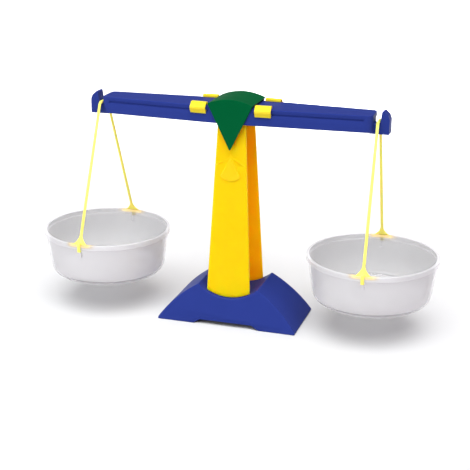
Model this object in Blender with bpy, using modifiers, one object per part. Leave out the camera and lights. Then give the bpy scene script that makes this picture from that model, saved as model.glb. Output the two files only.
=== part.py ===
"""Balance scale with two hanging pans, in metres, +Z up.

The beam lies along X and tips about Y. Each pan hangs on a bail that swings on the beam's end,
and four small clips slide along the beam's edges to set it level.
"""
import math

import bmesh
import bpy
from mathutils import Matrix, Vector

# Fits, shared by every piece
GAP = 0.0003
OVERRUN = 0.004
WELD = 0.00001
WALL = 0.0022
EDGE_RADIUS = 0.0008

# Base: a hollow wedge with a hollowed saddle along its top
BASE_HALF_LENGTH = 0.0746
BASE_HALF_DEPTH = 0.0369
BASE_TOP_HALF_DEPTH = 0.0288
BASE_HEIGHT = 0.0415
BASE_SKIRT_HEIGHT = 0.0022
BASE_RIDGE_X = 0.0322
BASE_SLOPE_BULGE = 0.0032
SADDLE_DEPTH = 0.0123
FOOT_LAND_X = 0.0360
FOOT_ARCH_HEIGHT = 0.0046
FOOT_ARCH_RUN = 0.0080

# Column: two leaning panels joined by a web
PIVOT_ABOVE_SADDLE = 0.1948
COLUMN_FOOT_HALF_WIDTH = 0.0232
COLUMN_HEAD_HALF_WIDTH = 0.0143
COLUMN_FOOT_HALF_DEPTH = 0.0266
COLUMN_HEAD_HALF_DEPTH = 0.0162
PANEL_THICKNESS = 0.0024
WEB_THICKNESS = 0.0024
WEB_BELOW_PIVOT = 0.0080
TILT_LIMIT = math.radians(8)
BOSS_RADIUS = 0.0040
BOSS_HEIGHT = 0.0150
BOSS_Y = 0.0120
ZERO_MARK_BELOW_PIVOT = 0.0455
ZERO_MARK_HALF_WIDTH = 0.0105
ZERO_MARK_SIDE_HEIGHT = 0.0201
ZERO_MARK_APEX_RADIUS = 0.0014
ZERO_MARK_SAG = 0.0050
ZERO_MARK_RAISE = 0.0006
BROW_DROP = 0.0085
BROW_WIDTH = 0.0008
BROW_RAISE = 0.0003

# Screws that hold the column down on the saddle
SCREW_SHANK_RADIUS = 0.0013
SCREW_HEAD_RADIUS = 0.0029
SCREW_HEAD_HEIGHT = 0.0019
SCREW_GRIP = 0.0095
SCREW_RECESS_WIDTH = 0.0007
SCREW_RECESS_LENGTH = 0.0032
SCREW_RECESS_DEPTH = 0.0009

# Pivot pin
PIN_RADIUS = 0.00175
PIN_CHAMFER = 0.0004

# Beam: a channel open below, with a notched block at each end
BEAM_TOP_ABOVE_PIVOT = 0.0060
BEAM_HEIGHT = 0.0172
BEAM_MID_HALF_WIDTH = 0.0218
BEAM_END_HALF_WIDTH = 0.0146
BEAM_BODY_HALF_LENGTH = 0.1415
BEAM_CORNER_RADIUS = 0.0050
BEAM_BOSS_RADIUS = 0.0042
RAIL_HEIGHT = 0.0043
GROOVE_HEIGHT = 0.0017
GROOVE_DEPTH = 0.0009
GROOVE_END_MARGIN = 0.0085
NOTCH_WIDTH = 0.0062
TAB_HALF_DEPTH = 0.0065
TAB_WIDTH = 0.0094
TAB_LEAN = 0.0014
TAB_RISE = 0.0034
TAB_SHOULDER_DROP = 0.0085
TAB_BOTTOM_DROP = 0.0006
TAB_WALL = 0.0018
NOTCH_FLOOR_THICKNESS = 0.0022

# Hanging bails
ROD_BEYOND_BEAM = 0.0041
ROD_BELOW_PIVOT = 0.0018
ROD_RADIUS = 0.0015
ROD_BEND = 0.0026
HANGER_DROP = 0.1380
HANGER_TWIST = math.radians(2.5)
FLARE_HALF_WIDTH = 0.0073
FLARE_HEIGHT = 0.0100
FLARE_THICKNESS = 0.0026
TONGUE_HALF_WIDTH = 0.0017
TONGUE_THICKNESS = 0.0015
BRIDGE_THICKNESS = 0.0018
BARB_HEIGHT = 0.0015
BARB_REACH = 0.0014

# Pans
PAN_RADIUS = 0.0675
PAN_HEIGHT = 0.0490
PAN_WALL = 0.0018
PAN_LIP_WIDTH = 0.0020
PAN_LIP_HEIGHT = 0.0060
PAN_TAPER = 0.0052
PAN_CORNER_RADIUS = 0.0130
STOP_HALF_WIDTH = 0.0017
STOP_HEIGHT = 0.0058
STOP_PROUD = 0.0014

# Pointer: a cap across the beam with a pointed plate at front and back
POINTER_HALF_WIDTH = 0.0236
POINTER_CORNER_ABOVE_BEAM = 0.0029
POINTER_CROWN = 0.0051
POINTER_TIP_BELOW_PIVOT = 0.0384
POINTER_PLATE = 0.0018
POINTER_ROOF = 0.0017
POINTER_TIP_RADIUS = 0.0010
POINTER_CORNER_RADIUS = 0.0009

# Sliding clips
CLIP_LENGTH = 0.0164
CLIP_CENTRE_X = 0.0336
CLIP_WALL = 0.0013
CLIP_TOP_ABOVE_BEAM = 0.0033
CLIP_BULGE = 0.0036
CLIP_OVERLAP = 0.0050
CLIP_SKIRT = 0.0022
CLIP_NOSE_HALF_HEIGHT = 0.0010
CLIP_LIP_REACH = 0.0006

# Heights and places that follow
SADDLE_LOW_Z = BASE_HEIGHT - SADDLE_DEPTH
SADDLE_RADIUS = (BASE_RIDGE_X ** 2 + SADDLE_DEPTH ** 2) / (2 * SADDLE_DEPTH)
SADDLE_CENTRE_Z = SADDLE_LOW_Z + SADDLE_RADIUS
PIVOT_Z = SADDLE_LOW_Z + PIVOT_ABOVE_SADDLE
BEAM_TOP_Z = PIVOT_Z + BEAM_TOP_ABOVE_PIVOT
BEAM_BOTTOM_Z = BEAM_TOP_Z - BEAM_HEIGHT
ROD_Z = PIVOT_Z - ROD_BELOW_PIVOT
RIM_Z = ROD_Z - HANGER_DROP
NOTCH_FLOOR_Z = ROD_Z - ROD_RADIUS - GAP
RAIL_Z = BEAM_TOP_Z - RAIL_HEIGHT
PAN_WALL_TOP_RADIUS = PAN_RADIUS - PAN_LIP_WIDTH
PAN_FOOT_RADIUS = PAN_WALL_TOP_RADIUS - PAN_TAPER
ARM_LENGTH = BEAM_BODY_HALF_LENGTH + ROD_BEYOND_BEAM
GROOVE_HALF_LENGTH = BEAM_BODY_HALF_LENGTH - GROOVE_END_MARGIN
TAB_INNER_X = BEAM_BODY_HALF_LENGTH + NOTCH_WIDTH
TAB_OUTER_X = TAB_INNER_X + TAB_WIDTH
ARC_STEPS = 4
SADDLE_STEPS = 15
ROUND_STEPS = 24
PAN_STEPS = 56


def clear_scene():
    for item in list(bpy.data.objects):
        bpy.data.objects.remove(item, do_unlink=True)


def make_collection(name):
    collection = bpy.data.collections.new(name)
    bpy.context.scene.collection.children.link(collection)
    return collection


def make_material(name, color, roughness, metallic=0.0):
    material = bpy.data.materials.new(name)
    material.use_nodes = True
    shader = material.node_tree.nodes["Principled BSDF"]
    shader.inputs["Base Color"].default_value = (*color, 1.0)
    shader.inputs["Roughness"].default_value = roughness
    shader.inputs["Metallic"].default_value = metallic
    return material


def add_part(name, mesh, material, location=(0, 0, 0), angle=0.0):
    part = bpy.data.objects.new(name, mesh)
    if not mesh.materials:
        mesh.materials.append(material)
    part.location = location
    part.rotation_euler = (0, 0, angle)
    PARTS.objects.link(part)
    return part


def add_tool(name, mesh, location=(0, 0, 0)):
    tool = bpy.data.objects.new(name, mesh)
    tool.location = location
    tool.hide_render = True
    tool.display_type = "WIRE"
    CUTTERS.objects.link(tool)
    return tool


def add_axis(name, location):
    axis = bpy.data.objects.new(name, None)
    axis.empty_display_size = ARM_LENGTH / 10
    axis.location = location
    PARTS.objects.link(axis)
    return axis


def hang_on(axis, part):
    part.parent = axis
    part.location = part.location - axis.location


def combine(part, tool, operation):
    modifier = part.modifiers.new(tool.name, "BOOLEAN")
    modifier.operation = operation
    modifier.solver = "EXACT"
    modifier.object = tool


def cut(part, tool):
    combine(part, tool, "DIFFERENCE")


def join(part, tool):
    combine(part, tool, "UNION")


def soften(part, width=EDGE_RADIUS, segments=2):
    bevel = part.modifiers.new("soft edges", "BEVEL")
    bevel.width = width
    bevel.segments = segments
    bevel.limit_method = "ANGLE"
    bevel.angle_limit = math.radians(35)


def arc_points(centre, radius, start, end, steps):
    """Points on a circle from one angle to another, ends included."""
    points = []
    for index in range(steps + 1):
        angle = start + (end - start) * index / steps
        points.append((centre[0] + radius * math.cos(angle), centre[1] + radius * math.sin(angle)))
    return points


def bowed(start, end, sagitta, steps):
    """Points on a shallow arc from start to end, bowed to the left of the way it goes."""
    first = Vector(start)
    last = Vector(end)
    chord = last - first
    side = Vector((-chord.y, chord.x)).normalized()
    radius = (chord.length ** 2 / 4 + sagitta ** 2) / (2 * sagitta)
    centre = (first + last) / 2 - side * (radius - sagitta)
    out = first - centre
    turn = -2 * math.asin(chord.length / (2 * radius))
    points = []
    for index in range(steps + 1):
        point = Matrix.Rotation(turn * index / steps, 2) @ out
        points.append((centre.x + point.x, centre.y + point.y))
    return points


def rounded(corners, steps=ARC_STEPS):
    """Outline through corners given as (x, y, radius), with an arc at each that has a radius."""
    outline = []
    for index, (x, y, radius) in enumerate(corners):
        here = Vector((x, y))
        if radius == 0:
            outline.append((x, y))
            continue
        before = (Vector(corners[index - 1][:2]) - here).normalized()
        after = (Vector(corners[(index + 1) % len(corners)][:2]) - here).normalized()
        half_angle = before.angle(after) / 2
        centre = here + (before + after).normalized() * (radius / math.sin(half_angle))
        reach = radius / math.tan(half_angle)
        start = here + before * reach - centre
        end = here + after * reach - centre
        first = math.atan2(start.y, start.x)
        turn = (math.atan2(end.y, end.x) - first + math.pi) % (2 * math.pi) - math.pi
        outline.extend(arc_points(centre, radius, first, first + turn, steps))
    return outline


def inset(outline, distance):
    """Closed outline moved inwards by a distance; the outline runs clockwise."""
    moved = []
    for index, point in enumerate(outline):
        here = Vector(point)
        before = (here - Vector(outline[index - 1])).normalized()
        after = (Vector(outline[(index + 1) % len(outline)]) - here).normalized()
        normal_before = Vector((before.y, -before.x))
        normal_after = Vector((after.y, -after.x))
        middle = (normal_before + normal_after).normalized()
        moved.append(here + middle * (distance / middle.dot(normal_before)))
    return [(point.x, point.y) for point in moved]


def outline_mesh(name, outline, half_thickness):
    """A flat outline in X and Y, filled and extruded to both sides along Z."""
    curve = bpy.data.curves.new(name, "CURVE")
    curve.dimensions = "2D"
    curve.fill_mode = "BOTH"
    curve.extrude = half_thickness
    spline = curve.splines.new("POLY")
    spline.points.add(len(outline) - 1)
    for point, (x, y) in zip(spline.points, outline):
        point.co = (x, y, 0, 1)
    spline.use_cyclic_u = True
    return curve_mesh(name, curve)


def curve_mesh(name, curve):
    """The mesh that a curve makes, with its caps welded on."""
    holder = bpy.data.objects.new(name, curve)
    bpy.context.scene.collection.objects.link(holder)
    depsgraph = bpy.context.evaluated_depsgraph_get()
    mesh = bpy.data.meshes.new_from_object(holder.evaluated_get(depsgraph))
    bpy.data.objects.remove(holder, do_unlink=True)
    mesh.name = name
    solid = bmesh.new()
    solid.from_mesh(mesh)
    bmesh.ops.remove_doubles(solid, verts=solid.verts, dist=WELD)
    bmesh.ops.dissolve_limit(solid, angle_limit=math.radians(0.1), verts=solid.verts, edges=solid.edges)
    bmesh.ops.recalc_face_normals(solid, faces=solid.faces)
    solid.to_mesh(mesh)
    solid.free()
    return mesh


def plate_mesh(name, outline, low_y, high_y):
    """An outline in X and Z, from one Y to another."""
    mesh = outline_mesh(name, outline, (high_y - low_y) / 2)
    mesh.transform(Matrix.Rotation(math.radians(90), 4, "X"))
    mesh.transform(Matrix.Translation((0, (low_y + high_y) / 2, 0)))
    return mesh


def side_mesh(name, outline, half_width):
    """An outline in Y and Z, extruded to both sides along X."""
    mesh = outline_mesh(name, outline, half_width)
    turn = Matrix(((0, 0, 1, 0), (1, 0, 0, 0), (0, 1, 0, 0), (0, 0, 0, 1)))
    mesh.transform(turn)
    return mesh


def plan_mesh(name, outline, low_z, high_z):
    """An outline in X and Y, from one height to another."""
    mesh = outline_mesh(name, outline, (high_z - low_z) / 2)
    mesh.transform(Matrix.Translation((0, 0, (low_z + high_z) / 2)))
    return mesh


def box_mesh(name, low, high):
    solid = bmesh.new()
    bmesh.ops.create_cube(solid, size=1)
    size = [high[axis] - low[axis] for axis in range(3)]
    centre = [(high[axis] + low[axis]) / 2 for axis in range(3)]
    bmesh.ops.scale(solid, vec=size, verts=solid.verts)
    bmesh.ops.translate(solid, vec=centre, verts=solid.verts)
    mesh = bpy.data.meshes.new(name)
    solid.to_mesh(mesh)
    solid.free()
    return mesh


def rod_mesh(name, radius, length, along, steps=ROUND_STEPS):
    """A round rod centred on the origin, along Y or Z."""
    solid = bmesh.new()
    bmesh.ops.create_cone(solid, cap_ends=True, segments=steps, radius1=radius, radius2=radius, depth=length)
    if along == "Y":
        bmesh.ops.rotate(solid, verts=solid.verts, cent=(0, 0, 0), matrix=Matrix.Rotation(math.radians(90), 3, "X"))
    mesh = bpy.data.meshes.new(name)
    solid.to_mesh(mesh)
    solid.free()
    return mesh


def turned_part(name, profile, steps, material, location=(0, 0, 0)):
    """A profile of (radius, height) points turned about Z; its outer side runs downwards."""
    mesh = bpy.data.meshes.new(name)
    edges = [(index, index + 1) for index in range(len(profile) - 1)]
    mesh.from_pydata([(radius, 0, height) for radius, height in profile], edges, [])
    part = add_part(name, mesh, material, location)
    screw = part.modifiers.new("turned", "SCREW")
    screw.steps = steps
    screw.render_steps = steps
    screw.use_merge_vertices = True
    screw.merge_threshold = WELD
    return part


def smooth(part, angle=math.radians(30)):
    part.data.shade_smooth()
    part.data.set_sharp_from_angle(angle=angle)


def base_depth(height):
    """Half depth of the base at a height; its long walls lean inwards."""
    return BASE_HALF_DEPTH - (BASE_HALF_DEPTH - BASE_TOP_HALF_DEPTH) * height / BASE_HEIGHT


def lean_walls(mesh, inward):
    for vertex in mesh.vertices:
        side = math.copysign(1, vertex.co.y)
        vertex.co.y = side * (base_depth(vertex.co.z) - inward)


def base_profile(extension):
    """Outline of the base in X and Z, clockwise from its lower left corner."""
    skirt_top = (-BASE_HALF_LENGTH, BASE_SKIRT_HEIGHT)
    left = bowed(skirt_top, (-BASE_RIDGE_X, BASE_HEIGHT), BASE_SLOPE_BULGE, 2 * ARC_STEPS)
    left.insert(0, (-BASE_HALF_LENGTH, -extension))
    half_turn = math.asin(BASE_RIDGE_X / SADDLE_RADIUS)
    down = -math.pi / 2
    saddle = arc_points((0, SADDLE_CENTRE_Z), SADDLE_RADIUS, down - half_turn, down + half_turn, SADDLE_STEPS)
    right = [(-x, z) for x, z in reversed(left)]
    return left + saddle[1:-1] + right


def make_base(material):
    mesh = plate_mesh("base_shell", base_profile(0), -BASE_HALF_DEPTH, BASE_HALF_DEPTH)
    lean_walls(mesh, 0)
    base = add_part("base_shell", mesh, material)
    soften(base)
    hollow = plate_mesh("base_hollow", inset(base_profile(WALL + OVERRUN), WALL), -BASE_HALF_DEPTH, BASE_HALF_DEPTH)
    lean_walls(hollow, WALL)
    cut(base, add_tool("base_hollow", hollow))
    arch_low_x = FOOT_LAND_X + FOOT_ARCH_RUN * OVERRUN / FOOT_ARCH_HEIGHT
    arch_high_x = FOOT_LAND_X - FOOT_ARCH_RUN
    arch = [
        (-arch_low_x, -OVERRUN),
        (-arch_high_x, FOOT_ARCH_HEIGHT),
        (arch_high_x, FOOT_ARCH_HEIGHT),
        (arch_low_x, -OVERRUN),
    ]
    reach = BASE_HALF_DEPTH + OVERRUN
    cut(base, add_tool("foot_arch", plate_mesh("foot_arch", arch, -reach, reach)))
    for side in (-1, 1):
        hole = rod_mesh("base_screw_hole", SCREW_SHANK_RADIUS + GAP, 2 * (WALL + OVERRUN), "Z")
        cut(base, add_tool("base_screw_hole", hole, (0, side * BOSS_Y, SADDLE_LOW_Z - WALL / 2)))
    return base


def column_share(height):
    """How far a height is from the column's foot, at 0, to its pivot, at 1."""
    return (height - SADDLE_LOW_Z) / PIVOT_ABOVE_SADDLE


def panel_half_width(height):
    return COLUMN_FOOT_HALF_WIDTH + (COLUMN_HEAD_HALF_WIDTH - COLUMN_FOOT_HALF_WIDTH) * column_share(height)


def panel_depth(height):
    """Distance of a panel's outer face from the middle plane."""
    return COLUMN_FOOT_HALF_DEPTH + (COLUMN_HEAD_HALF_DEPTH - COLUMN_FOOT_HALF_DEPTH) * column_share(height)


def panel_outline():
    foot_radius = SADDLE_RADIUS - GAP
    half_turn = math.asin(COLUMN_FOOT_HALF_WIDTH / foot_radius)
    down = -math.pi / 2
    foot = arc_points((0, SADDLE_CENTRE_Z), foot_radius, down - half_turn, down + half_turn, 3 * ARC_STEPS)
    head_z = PIVOT_Z + (BEAM_TOP_ABOVE_PIVOT - WALL - GAP) / math.cos(TILT_LIMIT)
    half_width = panel_half_width(head_z)
    shoulder_z = head_z - half_width * math.tan(TILT_LIMIT)
    return foot + [(half_width, shoulder_z), (0, head_z), (-half_width, shoulder_z)]


def mark_outline():
    """The raised zero mark: a triangle with a rounded apex and a rounded lower edge."""
    apex_z = PIVOT_Z - ZERO_MARK_BELOW_PIVOT
    side_z = apex_z - ZERO_MARK_SIDE_HEIGHT
    right = (ZERO_MARK_HALF_WIDTH, side_z)
    left = (-ZERO_MARK_HALF_WIDTH, side_z)
    lower_edge = bowed(left, right, -ZERO_MARK_SAG, 2 * ARC_STEPS)
    return rounded([(x, z, 0) for x, z in lower_edge] + [(0, apex_z, ZERO_MARK_APEX_RADIUS)])


def brow_outline():
    """A fine ridge from the mark's apex down to both edges of the panel."""
    apex_z = PIVOT_Z - ZERO_MARK_BELOW_PIVOT
    reach = panel_half_width(apex_z) - PANEL_THICKNESS / 2
    return [
        (0, apex_z),
        (reach, apex_z - BROW_DROP),
        (reach, apex_z - BROW_DROP - BROW_WIDTH),
        (0, apex_z - BROW_WIDTH),
        (-reach, apex_z - BROW_DROP - BROW_WIDTH),
        (-reach, apex_z - BROW_DROP),
    ]


def make_column(material):
    def lean(mesh, side):
        for vertex in mesh.vertices:
            vertex.co.y += side * (panel_depth(vertex.co.z) - PANEL_THICKNESS / 2)

    def panel(name, side):
        mesh = plate_mesh(name, panel_outline(), -PANEL_THICKNESS / 2, PANEL_THICKNESS / 2)
        lean(mesh, side)
        return mesh

    column = add_part("column", panel("column", -1), material)
    soften(column, PANEL_THICKNESS / 4)
    back = add_tool("column_back_panel", panel("column_back_panel", 1))
    soften(back, PANEL_THICKNESS / 4)
    join(column, back)

    web_low = SADDLE_LOW_Z + 2 * GAP
    web_high = PIVOT_Z - WEB_BELOW_PIVOT
    low_reach = panel_depth(web_low) - PANEL_THICKNESS / 2
    high_reach = panel_depth(web_high) - PANEL_THICKNESS / 2
    web = [(-low_reach, web_low), (low_reach, web_low), (high_reach, web_high), (-high_reach, web_high)]
    join(column, add_tool("column_web", side_mesh("column_web", web, WEB_THICKNESS / 2)))

    boss_low = SADDLE_CENTRE_Z - math.sqrt(SADDLE_RADIUS ** 2 - BOSS_RADIUS ** 2) + GAP
    for side in (-1, 1):
        boss = rod_mesh("column_boss", BOSS_RADIUS, BOSS_HEIGHT, "Z")
        join(column, add_tool("column_boss", boss, (0, side * BOSS_Y, boss_low + BOSS_HEIGHT / 2)))
        bore_depth = SCREW_GRIP + 2 * GAP
        bore = rod_mesh("column_boss_bore", SCREW_SHANK_RADIUS + GAP, bore_depth + OVERRUN, "Z")
        bore_z = SADDLE_LOW_Z + (bore_depth - OVERRUN) / 2
        cut(column, add_tool("column_boss_bore", bore, (0, side * BOSS_Y, bore_z)))

    for name, outline, raised in (
        ("zero_mark", mark_outline(), ZERO_MARK_RAISE),
        ("zero_mark_brow", brow_outline(), BROW_RAISE),
    ):
        mark = plate_mesh(name, outline, -PANEL_THICKNESS / 2 - raised, 0)
        lean(mark, -1)
        join(column, add_tool(name, mark))

    bore = rod_mesh("column_pin_bore", PIN_RADIUS + GAP, 2 * (COLUMN_FOOT_HALF_DEPTH + OVERRUN), "Y")
    cut(column, add_tool("column_pin_bore", bore, (0, 0, PIVOT_Z)))
    return column


def make_screw(name, side, material):
    """A pan-head screw whose head bears on the underside of the saddle."""
    head_top = SADDLE_LOW_Z - WALL - GAP
    tip = head_top + WALL + SCREW_GRIP
    neck = SCREW_SHANK_RADIUS
    profile = [
        (0, tip),
        (neck / 2, tip),
        (neck, tip - neck),
        (neck, head_top),
        (SCREW_HEAD_RADIUS, head_top),
        (SCREW_HEAD_RADIUS, head_top - SCREW_HEAD_HEIGHT / 2),
        (SCREW_HEAD_RADIUS * 0.8, head_top - SCREW_HEAD_HEIGHT),
        (0, head_top - SCREW_HEAD_HEIGHT),
    ]
    screw = turned_part(name, profile, ROUND_STEPS, material, (0, side * BOSS_Y, 0))
    low = head_top - SCREW_HEAD_HEIGHT - OVERRUN
    high = head_top - SCREW_HEAD_HEIGHT + SCREW_RECESS_DEPTH
    across = SCREW_RECESS_LENGTH / 2
    narrow = SCREW_RECESS_WIDTH / 2
    for width, depth in ((across, narrow), (narrow, across)):
        slot = box_mesh(name + "_recess", (-width, -depth, low), (width, depth, high))
        cut(screw, add_tool(name + "_recess", slot, (0, side * BOSS_Y, 0)))
    return screw


def beam_half_width(x):
    """Half width of the beam's body, straight under the pointer and tapering beyond it."""
    beyond = max(abs(x) - POINTER_HALF_WIDTH, 0)
    share = beyond / (BEAM_BODY_HALF_LENGTH - POINTER_HALF_WIDTH)
    return BEAM_MID_HALF_WIDTH + (BEAM_END_HALF_WIDTH - BEAM_MID_HALF_WIDTH) * share


def beam_plan(inward, corner_radius, half_length=BEAM_BODY_HALF_LENGTH):
    """Outline of the beam's body seen from above, moved inwards."""
    end = half_length - inward
    end_width = beam_half_width(half_length) - inward
    mid_width = BEAM_MID_HALF_WIDTH - inward
    return rounded([
        (-POINTER_HALF_WIDTH, mid_width, 0),
        (POINTER_HALF_WIDTH, mid_width, 0),
        (end, end_width, corner_radius),
        (end, -end_width, corner_radius),
        (POINTER_HALF_WIDTH, -mid_width, 0),
        (-POINTER_HALF_WIDTH, -mid_width, 0),
        (-end, -end_width, corner_radius),
        (-end, end_width, corner_radius),
    ])


def tab_outline():
    """The notched block at the beam's right end, in X and Z."""
    low_z = BEAM_BOTTOM_Z - TAB_BOTTOM_DROP
    peak_z = BEAM_TOP_Z + TAB_RISE
    shoulder_z = peak_z - TAB_SHOULDER_DROP
    start_x = BEAM_BODY_HALF_LENGTH - 2 * WALL
    ridge_x = TAB_INNER_X + TAB_LEAN
    return rounded([
        (start_x, low_z, 0),
        (start_x, NOTCH_FLOOR_Z, 0),
        (TAB_INNER_X, NOTCH_FLOOR_Z, ROD_RADIUS / 2),
        (ridge_x, peak_z - TAB_LEAN / 2, TAB_WIDTH / 12),
        (ridge_x + TAB_WIDTH / 5, peak_z, TAB_WIDTH / 8),
        (TAB_OUTER_X - TAB_WIDTH / 6, shoulder_z + TAB_SHOULDER_DROP / 2, TAB_WIDTH / 2),
        (TAB_OUTER_X, shoulder_z, TAB_WIDTH / 3),
        (TAB_OUTER_X, low_z, 2 * EDGE_RADIUS),
    ])


def make_beam(material):
    beam = add_part("beam", plan_mesh("beam", beam_plan(0, BEAM_CORNER_RADIUS), BEAM_BOTTOM_Z, BEAM_TOP_Z), material)
    soften(beam)
    hollow = plan_mesh("beam_hollow", beam_plan(WALL, BEAM_CORNER_RADIUS - WALL), BEAM_BOTTOM_Z - OVERRUN, BEAM_TOP_Z - WALL)
    cut(beam, add_tool("beam_hollow", hollow))

    for side in (-1, 1):
        block = plate_mesh("beam_end_block", tab_outline(), -TAB_HALF_DEPTH, TAB_HALF_DEPTH)
        tool = add_tool("beam_end_block", block)
        tool.rotation_euler = (0, 0, 0 if side > 0 else math.pi)
        soften(tool, EDGE_RADIUS / 2)
        join(beam, tool)
        pocket_high = NOTCH_FLOOR_Z - NOTCH_FLOOR_THICKNESS
        pocket_reach = TAB_HALF_DEPTH - TAB_WALL
        near = BEAM_BODY_HALF_LENGTH - WALL - GAP
        far = TAB_OUTER_X - TAB_WALL
        low = BEAM_BOTTOM_Z - TAB_BOTTOM_DROP - OVERRUN
        pocket = box_mesh("beam_end_pocket", (near, -pocket_reach, low), (far, pocket_reach, pocket_high))
        tool = add_tool("beam_end_pocket", pocket)
        tool.rotation_euler = (0, 0, 0 if side > 0 else math.pi)
        cut(beam, tool)

    boss_inner = panel_depth(PIVOT_Z) + 2 * GAP
    boss_outer = BEAM_MID_HALF_WIDTH - WALL / 2
    for side in (-1, 1):
        boss = rod_mesh("beam_pivot_boss", BEAM_BOSS_RADIUS, boss_outer - boss_inner, "Y")
        join(beam, add_tool("beam_pivot_boss", boss, (0, side * (boss_inner + boss_outer) / 2, PIVOT_Z)))
    bore = rod_mesh("beam_pin_bore", PIN_RADIUS + GAP, 2 * (BEAM_MID_HALF_WIDTH + OVERRUN), "Y")
    cut(beam, add_tool("beam_pin_bore", bore, (0, 0, PIVOT_Z)))

    for side in (-1, 1):
        for end in (-1, 1):
            angle, centre = rail_frame(side, end, (POINTER_HALF_WIDTH + GROOVE_HALF_LENGTH) / 2)
            half = (GROOVE_HALF_LENGTH - POINTER_HALF_WIDTH) / 2
            groove = box_mesh("beam_groove", (-half, -OVERRUN, RAIL_Z - GROOVE_HEIGHT), (half, GROOVE_DEPTH, RAIL_Z))
            tool = add_tool("beam_groove", groove, (centre[0], centre[1], 0))
            tool.rotation_euler = (0, 0, angle)
            cut(beam, tool)
    return beam


def rail_frame(side, end, x):
    """Turn about Z and place on the beam's edge where local -Y points outwards.

    side is -1 for the front edge and 1 for the back; end is -1 for the left arm and 1 for the right.
    """
    taper = math.atan2(BEAM_MID_HALF_WIDTH - BEAM_END_HALF_WIDTH, BEAM_BODY_HALF_LENGTH - POINTER_HALF_WIDTH)
    angle = taper * end
    if side > 0:
        angle = math.pi - taper * end
    return angle, (end * x, side * beam_half_width(x))


def make_pin(material):
    """The pin that the beam tips on, from wall to wall of the beam."""
    half = BEAM_MID_HALF_WIDTH - GAP
    inner = PIN_RADIUS - PIN_CHAMFER
    profile = [
        (0, half),
        (inner, half),
        (PIN_RADIUS, half - PIN_CHAMFER),
        (PIN_RADIUS, -half + PIN_CHAMFER),
        (inner, -half),
        (0, -half),
    ]
    pin = turned_part("pivot_pin", profile, ROUND_STEPS, material, (0, 0, PIVOT_Z))
    pin.rotation_euler = (math.radians(90), 0, 0)
    return pin


def pointer_outline(top_drop):
    """Outline of the pointer in X and Z: a crowned top and straight sides down to the tip."""
    corner_z = BEAM_TOP_Z + POINTER_CORNER_ABOVE_BEAM - top_drop
    tip_z = PIVOT_Z - POINTER_TIP_BELOW_PIVOT
    crown = bowed((-POINTER_HALF_WIDTH, corner_z), (POINTER_HALF_WIDTH, corner_z), POINTER_CROWN, 3 * ARC_STEPS)
    corners = [(x, z, 0) for x, z in crown]
    corners[0] = (*crown[0], POINTER_CORNER_RADIUS)
    corners[-1] = (*crown[-1], POINTER_CORNER_RADIUS)
    return rounded(corners + [(0, tip_z, POINTER_TIP_RADIUS)])


def make_pointer(material):
    inner = BEAM_MID_HALF_WIDTH + GAP
    outer = inner + POINTER_PLATE
    pointer = add_part("pointer", plate_mesh("pointer", pointer_outline(0), -outer, outer), material)
    soften(pointer, POINTER_PLATE / 4)
    corner_z = BEAM_TOP_Z + POINTER_CORNER_ABOVE_BEAM - POINTER_ROOF
    wide = POINTER_HALF_WIDTH + OVERRUN
    roof = bowed((-POINTER_HALF_WIDTH, corner_z), (POINTER_HALF_WIDTH, corner_z), POINTER_CROWN, 3 * ARC_STEPS)
    low_z = PIVOT_Z - POINTER_TIP_BELOW_PIVOT - OVERRUN
    room = [(-wide, low_z), (-wide, corner_z)] + roof + [(wide, corner_z), (wide, low_z)]
    cut(pointer, add_tool("pointer_room", plate_mesh("pointer_room", room, -inner, inner)))
    return pointer


def clip_outline():
    """Section of a clip: distance outwards from the beam's edge, and height above its top."""
    top = CLIP_TOP_ABOVE_BEAM
    nose_high = -RAIL_HEIGHT / 2 + CLIP_NOSE_HALF_HEIGHT
    nose_low = -RAIL_HEIGHT / 2 - CLIP_NOSE_HALF_HEIGHT
    lip_high = -RAIL_HEIGHT - GAP
    lip_low = -RAIL_HEIGHT - GROOVE_HEIGHT + GAP
    foot = lip_low - CLIP_SKIRT
    return [
        (GAP, foot),
        (GAP + CLIP_WALL * 0.7, foot),
        (CLIP_BULGE, nose_low),
        (CLIP_BULGE, nose_high),
        (-CLIP_WALL / 2, top),
        (-CLIP_OVERLAP + CLIP_WALL / 2, top),
        (-CLIP_OVERLAP, top - CLIP_WALL),
        (-CLIP_OVERLAP, GAP),
        (-CLIP_OVERLAP + CLIP_WALL, GAP),
        (-CLIP_OVERLAP + CLIP_WALL, top - CLIP_WALL),
        (-CLIP_WALL, top - CLIP_WALL),
        (CLIP_BULGE - CLIP_WALL, nose_high - CLIP_WALL / 4),
        (CLIP_BULGE - CLIP_WALL, nose_low + CLIP_WALL / 4),
        (GAP, lip_high),
        (-CLIP_LIP_REACH, lip_high),
        (-CLIP_LIP_REACH, lip_low),
        (GAP, lip_low),
    ]


def make_clips(material):
    outline = [(-outward, height) for outward, height in clip_outline()]
    mesh = side_mesh("slider", outline, CLIP_LENGTH / 2)
    clips = []
    for side, side_name in ((-1, "front"), (1, "back")):
        for end, end_name in ((-1, "left"), (1, "right")):
            angle, place = rail_frame(side, end, CLIP_CENTRE_X)
            name = "slider_" + side_name + "_" + end_name
            clips.append(add_part(name, mesh, material, (place[0], place[1], BEAM_TOP_Z), angle))
    return clips


def wall_inner_radius(drop):
    """Inner radius of a pan at a distance below its rim."""
    slope = PAN_TAPER / (PAN_HEIGHT - PAN_LIP_HEIGHT)
    return PAN_WALL_TOP_RADIUS - PAN_WALL - slope * max(drop - PAN_LIP_HEIGHT, 0)


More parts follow.
